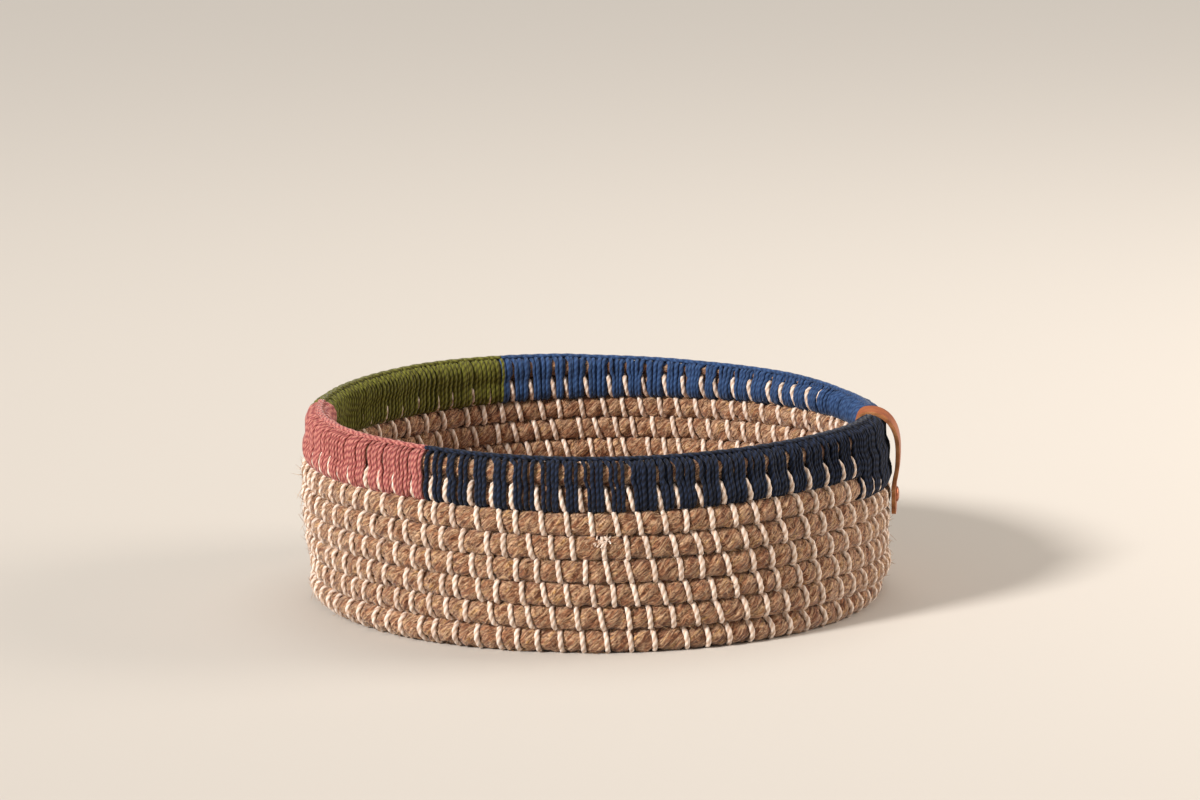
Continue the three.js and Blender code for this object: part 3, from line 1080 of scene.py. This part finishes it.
@dataclass(frozen=True)
class YarnColour:
    """One colour of yarn on the rim.

    Attributes:
        name: Name of the piece and of its CAD node.
        finish: Its finish.
        places: Where it starts and ends, in degrees round the basket.
        spacings: Distances between strands, spread evenly from its start to its end.
        width_share: Half width of a strand as a share of the distance to the next one.
        upper_share: How far the strands give way to the stitches on the upper course.
        under_depth: How deep the strands of the layer under it lie.
        stitch_room: Width of the gap that the strands leave for a stitch.
        tall_place: Place past which it covers three courses, if any.
        bare: Degrees at its start where only the ridge on the rim covers the rope.
        single: Degrees at its start where the layer under the strands is left out.
    """

    name: str
    finish: SpunFinish
    places: Pair
    spacings: tuple[float, ...]
    width_share: float
    upper_share: float
    under_depth: float
    stitch_room: float
    tall_place: float | None = None
    bare: float = 0.0
    single: float = 0.0


COLOURS = (
    YarnColour("wrap_blue", BLUE, (1.0, 111.0), (1.7, 1.9, 2.1), 0.4, 0.9, 0.75, 2.7),
    YarnColour("wrap_green", GREEN, (111.0, 175.0), (1.8, 1.75), 0.41, 0.35, 0.65, 0.5),
    YarnColour("wrap_rose", ROSE, (175.0, 234.0), (1.8, 1.85), 0.38, 0.4, 0.8, 2.4),
    YarnColour(
        "wrap_navy", NAVY, (234.0, 359.0), (2.4, 2.0, 1.8, 1.55, 1.5), 0.37, 0.85, 0.75, 2.4,
        tall_place=332.0, bare=1.4, single=42.0,
    ),
)


@dataclass
class YarnWrap:
    """Yarn of one colour wound round the top courses, with a ridge of loops along the rim.

    A strand bends at angles in the rope's section, and gives way to the stitches by a fixed part and a
    part of the colour's upper share: in the lowest course, in one above it and in the groove over each.
    On the rim there is no fixed part.
    """

    coil: Coil
    plan: StitchPlan
    colour: YarnColour
    half_thickness: float = 0.7
    proud: float = 0.5
    groove_dip: float = 0.6
    thin_lift: float = 0.2
    widest: float = 0.78
    width_spread: Pair = (-0.16, 0.1)
    spacing_spread: Pair = (-0.24, 0.3)
    bulge_spread: float = 0.12
    shift_spread: float = 0.05
    slant: float = 0.2
    lean: float = 1.3
    give: Pair = (0.35, 1.15)
    low_bends: tuple[Triple, ...] = ((-76, 1, 0), (-40, 1, 0), (-10, 0.95, 0), (16, 0.7, 0.3))
    high_bends: tuple[Triple, ...] = ((-14, 0.5, 0.5), (0, 0.4, 0.6), (14, 0.3, 0.7))
    rim_bends: tuple[Pair, ...] = ((-14, 0.85), (16, 1), (42, 0.9), (66, 0.3))
    low_groove: Pair = (0.35, 0.65)
    high_groove: Pair = (0.2, 0.8)
    ridge_step: float = 1.1
    ridge_angle: float = 89.0
    ridge_sway: float = 0.12
    ridge_reach: float = 1.15
    ridge_swing: float = 0.14
    ridge_pitch: float = 11.0
    ridge_half_width: float = 0.95
    tab_place: float = 354.5
    tab_press: float = 0.75
    tab_reach: Pair = (3.6, 6.0)

    @property
    def round_rim(self) -> float:
        """Length of one turn of the rim."""
        return FULL_TURN * self.coil.rim_radius

    def build(self) -> None:
        """Makes the winding with its ridge."""
        random = np.random.default_rng(SEED + len(self.colour.name) * 7 + int(self.colour.places[0]))
        tops = self._tops(random)
        between = (tops[1:] + tops[:-1]) / 2
        between = between[between < self.coil.rim_turn(self.colour.places[0] + self.colour.single)]
        tubes = [
            self._winding(tops, random, 0.0), self._winding(between, random, self.colour.under_depth),
            self._ridge(0.0), self._ridge(math.pi),
        ]
        piece = make_piece(self.colour.name + "_yarn", tubes, self.colour.finish.material())
        settle(piece, self.colour.finish.name, self.colour.name)

    def _tops(self, random: Random) -> Array:
        """Turns of the rim where the strands cross it.

        Args:
            random: Source of small shifts.

        Returns:
            Turns, rising.
        """
        first = self.coil.rim_turn(self.colour.places[1])
        last = self.coil.rim_turn(self.colour.places[0] + self.colour.bare)
        turns, at = [], first
        while at < last:
            turns.append(at)
            spacing = self._spacing((at - first) / (last - first))
            at += spacing * (1 + random.uniform(*self.spacing_spread)) / self.round_rim
        return np.array(turns)

    def _spacing(self, share: float) -> float:
        """Distance between strands at a share of the way along the rope."""
        known = self.colour.spacings[::-1]
        return np.interp(share, np.linspace(0, 1, len(known)), known)

    def _squeezed(self, tops: Array, side: Side, course: int) -> Array:
        """Shifts strands aside to leave room for the stitches that show between them.

        Args:
            tops: Turns of the rim where the strands cross it.
            side: Side of the wall.
            course: Courses under the rim where the stitches show.

        Returns:
            Turns of the rim at which the strands pass there.
        """
        stops = self.plan.seen_turns(side) + course
        after = np.clip(np.searchsorted(stops, tops), 1, len(stops) - 1)
        low, high = stops[after - 1], stops[after]
        room = self.colour.stitch_room / self.round_rim
        moved = low + room / 2 + (tops - low) / (high - low) * (high - low - room)
        known = (tops > stops[0]) & (tops < stops[-1]) & (high - low > room)
        return np.where(known, moved, tops)

    def _winding(self, tops: Array, random: Random, depth: float) -> Tube:
        """Winds one layer of the yarn round the rope.

        Args:
            tops: Turns of the rim where the strands cross it.
            random: Source of small shifts.
            depth: How far the layer lies under the outermost one.

        Returns:
            The yarn as one tube.
        """
        tall_place = self.colour.tall_place
        tall_from = -1.0 if tall_place is None else self.coil.rim_turn(tall_place)
        lean = {Side.OUTER: self.lean / self.round_rim, Side.INNER: 0.0}
        lows = {
            (side, lowest): self._squeezed(tops - lean[side], side, lowest)
            for side in Side for lowest in (1, 2)
        }
        stops, widths = [], []
        for number, top in enumerate(tops):
            lowest = 2 if top < tall_from else 1
            bulge = random.normal(0, self.bulge_spread) - depth
            width = self.colour.width_share * self._spacing((top - tops[0]) / (tops[-1] - tops[0]))
            width = min(width, self.widest) * (1 + random.uniform(*self.width_spread))
            slant = random.normal(0, self.slant) / self.round_rim
            give = random.uniform(*self.give)
            for course, angle, pull in self._stops(lowest):
                low = lows[(Side.OUTER if abs(angle) < 90 else Side.INNER, lowest)][number]
                pull *= give if course == 0 else 1
                shift = slant * (0.5 - pull) + random.normal(0, self.shift_spread) / self.round_rim
                turn = top + pull * (low - top) + shift
                stops.append(self._stop(turn, course, math.radians(angle), bulge))
                widths.append(width)
        points, spokes = (np.array(column) for column in zip(*stops))
        return cord_tube(points, spokes, np.array(widths), self.half_thickness)

    def _stops(self, lowest: int) -> list[Triple]:
        """Lists the places that a strand passes in one loop.

        Args:
            lowest: Number of the lowest course it covers, the rim being 0.

        Returns:
            The course, or a half for a groove, the angle in its section and how far the strand gives
            way to the stitches there.
        """
        upper = self.colour.upper_share
        outer, inner = [], []
        for course in range(lowest, 0, -1):
            low = course == lowest
            bends = [
                (angle, fixed + part * upper)
                for angle, fixed, part in (self.low_bends if low else self.high_bends)
            ]
            fixed, part = self.low_groove if low else self.high_groove
            groove = fixed + part * upper
            outer += [(course, angle, pull) for angle, pull in bends] + [(course - 0.5, 0, groove)]
            back = [(course, 180 - angle, pull) for angle, pull in reversed(bends)]
            inner = [(course - 0.5, 180, groove)] + back + inner
        half = list(self.rim_bends)
        rim = half + [(self.ridge_angle, 0)] + [(180 - angle, pull) for angle, pull in reversed(half)]
        return outer + [(0, angle, pull * upper) for angle, pull in rim] + inner

    def _stop(self, turn: float, course: float, angle: float, bulge: float) -> tuple[Array, Array]:
        """Places one point of a strand.

        Args:
            turn: Turn of the rim.
            course: Courses under the rim, or a half for the groove between two.
            angle: Angle in the rope's section.
            bulge: How far the strand stands out.

        Returns:
            The point in millimetres and the direction out of the rope.
        """
        whole = np.array([math.floor(course), math.ceil(course)])
        radius, height, share = self.coil.line(turn - whole)
        reach = self.coil.rope_radius * share.mean() * self.coil.bulk(angle) + self.proud + bulge
        if whole[0] != whole[1]:
            reach -= self.groove_dip
        along = float(radius.mean() + reach * math.cos(angle))
        above = float(height.mean() + reach * math.sin(angle))
        if course < 1:
            # Where the rim's rope has thinned out, the strand lies on the course under it
            low_radius, low_height, _ = (float(v) for v in self.coil.line(turn - 1))
            away = math.hypot(along - low_radius, above - low_height)
            lift = max((self.coil.rope_radius + self.proud + self.thin_lift + bulge) / away, 1.0)
            along = low_radius + (along - low_radius) * lift
            above = low_height + (above - low_height) * lift
        place = self.coil.place_of(turn)
        ahead = np.array([math.cos(place), math.sin(place), 0])
        return along * ahead + above * UP, math.cos(angle) * ahead + math.sin(angle) * UP

    def _ridge(self, phase: float) -> Tube:
        """Lays one of the two strands that run twisted along the rim.

        Args:
            phase: Where in its twist it starts.

        Returns:
            The strand as one tube.
        """
        first, last = (self.coil.rim_turn(place) for place in self.colour.places[::-1])
        length = (last - first) * FULL_TURN * self.coil.rim_radius
        stops = []
        for share in np.linspace(0, 1, int(length / self.ridge_step)):
            twist = phase + share * length / self.ridge_pitch * FULL_TURN
            angle = math.radians(self.ridge_angle) + self.ridge_sway * math.cos(twist)
            reach = self.ridge_reach - self.proud + self.ridge_swing * math.sin(twist)
            turn = first + share * (last - first)
            from_tab = abs(turn - self.coil.rim_turn(self.tab_place)) * 360
            reach -= self.tab_press * float(np.interp(from_tab, self.tab_reach, (1, 0)))
            stops.append(self._stop(turn, 0, angle, reach))
        points, spokes = (np.array(column) for column in zip(*stops))
        return cord_tube(points, spokes, self.ridge_half_width, self.half_thickness)


def round_edges(piece: Piece, width: float, sharp: float, smooth: float) -> None:
    """Rounds the sharp edges of the active piece and shades it.

    Args:
        piece: The piece.
        width: Width of the rounding in millimetres.
        sharp: Degrees past which an edge is rounded.
        smooth: Degrees up to which an edge is shaded smooth.
    """
    rounding = piece.modifiers.new("rounding", "BEVEL")
    rounding.width = width * MM
    rounding.segments = 2
    rounding.limit_method = "ANGLE"
    rounding.angle_limit = math.radians(sharp)
    bpy.ops.object.modifier_apply(modifier="rounding")
    bpy.ops.object.shade_smooth_by_angle(angle=math.radians(smooth))


@dataclass
class LeatherTab:
    """Leather strip folded over the rim where the rope ends, with a rivet through both tails.

    Its ease is how far its curve's handles reach: beside the rivet, above it and under the belly. Edges
    are given as round_edges takes them.
    """

    coil: Coil
    place: float = -5.5
    width: float = 12.0
    thickness: float = 1.5
    corner: float = 2.0
    tail: float = 6.3
    rivet_courses: int = 3
    seat: float = 1.2
    crown_gap: float = 1.5
    crown_pull: float = 3.4
    shoulder_drop: float = 2.4
    belly_gap: float = 2.2
    belly_slack: float = 0.7
    ease: Triple = (2.0, 3.0, 4.0)
    edges: Triple = (0.22, 50.0, 50.0)
    curve_stops: int = 40
    cross_cells: int = 12
    run_cells: int = 72
    head_radius: float = 2.7
    head_height: float = 1.2
    head_rim: float = 0.4
    head_edges: Triple = (0.12, 60.0, 40.0)
    head_sink: float = 0.12
    head_sides: int = 48
    dome_steps: int = 7

    def build(self) -> None:
        """Makes the strip and both rivet heads."""
        settle(self._strip(self._path()), "leather", "leather_tab")
        copper = CopperFinish().material()
        for name, way, node in (
            ("rivet_outer_head", 1.0, "rivet_stud"), ("rivet_inner_head", -1.0, "rivet_cap"),
        ):
            settle(self._head(name, way, copper), "copper", node)

    def _courses(self) -> tuple[Array, Array]:
        """Radius and height of the rope under the tab: the top course, the next and the rivet's."""
        top_turn = self.coil.rim_turn(self.place) - 1
        return self.coil.line(top_turn - np.array([0, 1, self.rivet_courses]))[:2]

    def _path(self) -> Array:
        """Middle of the folded strip, as seen from the side.

        Returns:
            Distances from the basket's axis and heights, from the inner tail to the outer.
        """
        (top_radius, mid_radius, low_radius), (top_height, mid_height, low_height) = self._courses()
        reach = self.coil.rope_radius + self.seat + self.thickness / 2
        crown = top_height + self.coil.rope_radius + self.crown_gap
        out, into = low_radius + reach, low_radius - reach
        belly_out = mid_radius + reach + self.belly_gap
        belly_in = mid_radius - reach - self.belly_slack
        foot, hold = low_height - self.tail, low_height + self.head_radius
        left, right = top_radius - self.crown_pull, top_radius + self.crown_pull
        beside, over, under = self.ease
        curves = np.array([
            (into, foot), (into, foot + beside), (into, hold - beside), (into, hold),
            (into, hold), (into, hold + over), (belly_in, hold + under), (belly_in, mid_height),
            (belly_in, mid_height), (belly_in, crown), (left, crown), (top_radius, crown),
            (top_radius, crown), (right, crown), (belly_out, crown - self.shoulder_drop),
            (belly_out, mid_height),
            (belly_out, mid_height), (belly_out, hold + under), (out, hold + over), (out, hold),
            (out, hold), (out, hold - beside), (out, foot + beside), (out, foot),
        ]).reshape(-1, 4, 2)
        share = np.linspace(0, 1, self.curve_stops)[:, None]
        back = 1 - share
        weights = (back**3, 3 * back**2 * share, 3 * back * share**2, share**3)
        points = np.vstack([sum(w * point for w, point in zip(weights, curve)) for curve in curves])
        run = run_length(points)
        even = np.linspace(0, run[-1], self.run_cells + 1)
        return np.stack([np.interp(even, run, axis) for axis in points.T], -1)

    def _strip(self, path: Array) -> Piece:
        """Bends a flat grid along the path and gives it the leather's thickness.

        Args:
            path: Middle of the strip, as seen from the side.

        Returns:
            The strip.
        """
        bpy.ops.object.select_all(action="DESELECT")
        bpy.ops.mesh.primitive_grid_add(
            x_subdivisions=self.run_cells, y_subdivisions=self.cross_cells, size=2.0
        )
        strip = bpy.context.active_object
        strip.name = "leather_strip"
        run = run_length(path)
        turn = math.radians(self.place)
        for vertex in strip.data.vertices:
            at = round((vertex.co.x + 1) / 2 * self.run_cells)
            cut = max(self.corner - min(run[at], run[-1] - run[at]), 0)
            half = self.width / 2 - self.corner + math.sqrt(self.corner**2 - cut**2)
            ahead, beside = path[at, 0], vertex.co.y * half
            vertex.co = Vector((
                math.cos(turn) * ahead - math.sin(turn) * beside,
                math.sin(turn) * ahead + math.cos(turn) * beside, path[at, 1],
            )) * MM
        for finish in (SMOOTH_LEATHER, CUT_LEATHER):
            strip.data.materials.append(finish.material())
        hide = strip.modifiers.new("hide", "SOLIDIFY")
        hide.thickness = self.thickness * MM
        hide.offset = 0
        hide.material_offset = hide.material_offset_rim = 1
        bpy.ops.object.modifier_apply(modifier="hide")
        round_edges(strip, *self.edges)
        return strip

    def _head(self, name: str, way: float, material: Material) -> Piece:
        """Makes one domed rivet head.

        Args:
            name: Name of the piece.
            way: 1 if it faces out of the basket, -1 if it faces in.
            material: Its finish.

        Returns:
            The head.
        """
        bpy.ops.object.select_all(action="DESELECT")
        bpy.ops.mesh.primitive_cylinder_add(
            vertices=self.head_sides, radius=self.head_radius * MM, depth=self.head_rim * MM,
            location=(0, 0, self.head_rim * MM / 2),
        )
        head = bpy.context.active_object
        head.name = name
        bpy.ops.object.transform_apply(location=True, rotation=True, scale=True)
        bpy.ops.object.mode_set(mode="EDIT")
        bpy.ops.mesh.select_mode(type="FACE")
        bpy.ops.mesh.select_all(action="DESELECT")
        bpy.ops.object.mode_set(mode="OBJECT")
        max(head.data.polygons, key=lambda face: face.center.z).select = True
        bpy.ops.object.mode_set(mode="EDIT")
        dome = self.head_height - self.head_rim
        for step in range(1, self.dome_steps):
            now, then = (math.pi / 2 * k / self.dome_steps for k in (step, step - 1))
            inset = self.head_radius * (math.cos(then) - math.cos(now))
            lift = dome * (math.sin(now) - math.sin(then))
            bpy.ops.mesh.inset(thickness=inset * MM, depth=lift * MM)
        bpy.ops.object.mode_set(mode="OBJECT")
        round_edges(head, *self.head_edges)
        radius, height = (float(values[-1]) for values in self._courses())
        radius += way * (self.coil.rope_radius + self.seat + self.thickness - self.head_sink)
        place = math.radians(self.place)
        facing = Matrix.Rotation(place, 4, "Z") @ Matrix.Rotation(way * math.pi / 2, 4, "Y")
        spot = Vector((math.cos(place) * radius, math.sin(place) * radius, height)) * MM
        head.data.transform(Matrix.Translation(spot) @ facing)
        head.data.materials.append(material)
        return head


@dataclass
class Fuzz:
    """Loose fibres that stand off the rope, or lie across it."""

    coil: Coil
    rope: JuteRope
    finish: JuteFinish = FIBRES
    pieces: int = 3
    count: int = 9000
    length: Pair = (1.4, 4.8)
    least_length: float = 0.4
    taper: tuple[float, ...] = (0.085, 0.085, 0.068, 0.0255)
    sides: int = 3
    lift: float = 0.26
    lift_spread: Pair = (0.1, 1.9)
    lean: Pair = (40.0, 38.0)
    curl: float = 0.35
    droop: float = 0.25
    root: float = 0.12
    floor_gap: float = 0.12
    first_distance: float = 10.0
    wall_share: float = 0.85
    outer_share: float = 0.65
    angle_spread: float = 1.2
    tall_degrees: Pair = (330.0, 361.0)
    uv_cell: Pair = (1.5, 0.1)
    uv_apart: float = 7.0

    def build(self) -> None:
        """Makes the fibres."""
        material = self.finish.material()
        random = np.random.default_rng(SEED + 1)
        along = np.arange(len(self.taper)) * self.uv_cell[0]
        around = np.arange(self.sides + 1) * self.uv_cell[1]
        for number in range(self.pieces):
            rings = self._rings(random)
            tubes = [Tube(ring, along + self.uv_apart * at, around) for at, ring in enumerate(rings)]
            settle(make_piece(f"jute_fibres_{number + 1}", tubes, material), "jute")

    def _rings(self, random: Random) -> Array:
        """Grows the fibres of one piece.

        Args:
            random: Source of their places and shapes.

        Returns:
            Rings of all fibres: shape (fibres, rings, sides, 3).
        """
        column = (self.count, 1)
        bare_turn = self.coil.rim_turn(self.tall_degrees[1]) - 1
        middle, end = (float(self.coil.distance_of(turn)) for turn in (0.0, bare_turn))
        on_wall = random.random(column) < self.wall_share
        high_up, low_down = (
            random.uniform(*reach, column) for reach in ((middle, end), (self.first_distance, middle))
        )
        distance = np.where(on_wall, high_up, low_down)
        # The course that the tall end of the yarn covers stays bare of fibres
        high, low = (
            float(self.coil.distance_of(self.coil.rim_turn(place) - 2)) for place in self.tall_degrees
        )
        covered = (distance > low) & (distance < high)
        distance = np.where(covered, distance - 2 * (high - low), distance)
        line = self.coil.at(distance)
        outer = random.random(column) < self.outer_share
        middle_angle = (line["after"] + line["before"]) / 2 + np.where(outer, 0, math.pi)
        angle = middle_angle + random.uniform(-self.angle_spread, self.angle_spread, column)
        lane = angle + FULL_TURN * distance / self.rope.lay_length
        root, spoke = (found[:, 0] for found in self.rope.surface(distance, lane))
        ahead = np.cross(line["outward"][:, 0], UP)
        up = np.cross(spoke, ahead)
        turn = random.normal(*np.radians(self.lean), column)
        way = (ahead * np.cos(turn) - up * np.sin(turn)) * random.choice([-1.0, 1.0], column)
        way += spoke * self.lift * random.uniform(*self.lift_spread, column)
        bend = random.normal(0, self.curl, (self.count, 3)) - spoke * self.droop
        length = random.uniform(*self.length, column) * random.uniform(self.least_length, 1, column)
        share = np.linspace(0, 1, len(self.taper))[None, :, None]
        path = (root - spoke * self.root)[:, None] + length[:, None] * (
            share * way[:, None] + share**2 * bend[:, None]
        )
        path[..., 2] = np.maximum(path[..., 2], self.floor_gap)
        side = np.cross(way, spoke)
        side /= np.linalg.norm(side, axis=1, keepdims=True)
        corner = np.arange(self.sides)[None, :, None] / self.sides * FULL_TURN
        spread = side[:, None] * np.cos(corner) + spoke[:, None] * np.sin(corner)
        return path[:, :, None] + spread[:, None] * np.array(self.taper)[None, :, None, None]


@dataclass
class FrayedKnot:
    """Small frayed knot of the cord that sits on a course in front."""

    coil: Coil
    rope: JuteRope
    turn: float = 4.002
    angle: float = 36.0
    threads: int = 30
    stops: int = 7
    sides: int = 5
    spread: float = 1.0
    angle_spread: float = 0.2
    half_width: float = 0.27
    half_length: float = 0.75
    lift: float = 0.7
    rise: float = 1.1
    curl: float = 0.5

    def build(self) -> None:
        """Makes the knot out of short curled threads."""
        random = np.random.default_rng(SEED + 9)
        distance = np.full((self.threads, 1), float(self.coil.distance_of(self.turn)))
        distance += random.normal(0, self.spread, (self.threads, 1))
        angle = math.radians(self.angle) + random.normal(0, self.angle_spread, (self.threads, 1))
        lane = angle + FULL_TURN * distance / self.rope.lay_length
        root, spoke = (found[:, 0] for found in self.rope.surface(distance, lane))
        share = np.linspace(-1, 1, self.stops)[:, None]
        tubes = []
        for start, out in zip(root, spoke):
            way = random.normal(0, 1, 3)
            way -= out * (way @ out)
            bend = random.normal(0, self.curl, 3)
            path = start + out * self.lift * (self.rise - share**2)
            path = path + share * way * self.half_length + share**2 * bend
            outward = np.tile(out, (self.stops, 1))
            tubes.append(cord_tube(path, outward, self.half_width, self.half_width, self.sides))
        settle(make_piece("frayed_knot", tubes, CREAM.material()), "cotton_cord")


@dataclass
class Studio:
    """Pale floor, soft lamps and the camera."""

    camera_distance: float = 1722.6
    camera_rise: float = 0.2000
    camera_tilt: float = -0.0201
    camera_roll: float = -0.0152
    aim_height: float = 32.0
    focal_pixels: float = 4949.9
    image_width: float = 1200.0
    side_shift_pixels: float = 5.28
    floor_half: float = 6.0
    lamp_aim: Triple = (0, 0, 0.03)
    world_strength: float = 0.31

    def build(self) -> None:
        """Makes the floor, the lamps, the world and the camera."""
        self._camera()
        bpy.ops.object.select_all(action="DESELECT")
        bpy.ops.mesh.primitive_plane_add(size=2 * self.floor_half)
        floor = bpy.context.active_object
        floor.name = "floor"
        floor.data.materials.append(FloorFinish().material())
        # The key light is so far off that the floor is as pale at the back as in front
        self._lamp("key", "SUN", (-1.18, -0.9, 0.95), "#FFF9F3", angle=math.radians(12.0), energy=4.1)
        self._lamp("side", "AREA", (1.3, 0.15, 0.55), "#FFF1E4", size=0.7, energy=13.0)
        self._lamp("top", "AREA", (0.2, 0.5, 1.4), "#FFF8F0", size=0.9, energy=6.0)
        world = bpy.data.worlds.new("studio")
        world.use_nodes = True
        background = world.node_tree.nodes["Background"]
        background.inputs["Color"].default_value = linear("#F4F0EA")
        background.inputs["Strength"].default_value = self.world_strength
        bpy.context.scene.world = world
        bpy.context.scene.view_settings.view_transform = "Standard"

    def _camera(self) -> None:
        """Sets the camera at the fitted place."""
        back = self.camera_distance * math.cos(self.camera_rise)
        height = self.aim_height + self.camera_distance * math.sin(self.camera_rise)
        lean = Matrix.Rotation(math.pi / 2 - self.camera_rise - self.camera_tilt, 4, "X")
        turned = lean @ Matrix.Rotation(self.camera_roll, 4, "Z")
        data = bpy.data.cameras.new("camera")
        data.sensor_width = 36.0
        data.lens = self.focal_pixels * data.sensor_width / self.image_width
        data.shift_x = self.side_shift_pixels / self.image_width
        data.clip_end = 50
        camera = bpy.data.objects.new("camera", data)
        camera.matrix_world = Matrix.Translation(Vector((0, -back, height)) * MM) @ turned
        bpy.context.scene.collection.objects.link(camera)
        bpy.context.scene.camera = camera

    def _lamp(
        self, name: str, kind: str, spot: Sequence[float], colour: str, **settings: float
    ) -> None:
        """Hangs one lamp.

        Args:
            name: Name of the lamp.
            kind: Blender's name of its kind.
            spot: Its place in metres.
            colour: Its colour in sRGB hex.
            settings: Its strength and its size, by Blender's names.
        """
        aim = (0, 0, 0) if kind == "SUN" else self.lamp_aim
        data = bpy.data.lights.new(name, kind)
        data.color = linear(colour)[:3]
        for setting, value in settings.items():
            setattr(data, setting, value)
        lamp = bpy.data.objects.new(name, data)
        lamp.location = spot
        lamp.rotation_euler = (Vector(aim) - Vector(spot)).to_track_quat("-Z", "Y").to_euler()
        bpy.context.scene.collection.objects.link(lamp)


def main() -> None:
    """Builds the studio and every piece of the basket."""
    logging.basicConfig(level=logging.INFO, format="%(name)s: %(message)s")
    Studio().build()
    coil = Coil()
    plan = StitchPlan(coil)
    rope = JuteRope(coil, plan)
    rope.build()
    Stitching(coil, plan).build()
    for colour in COLOURS:
        YarnWrap(coil, plan, colour).build()
    LeatherTab(coil).build()
    FrayedKnot(coil, rope).build()
    Fuzz(coil, rope).build()


if __name__ == "__main__":
    main()
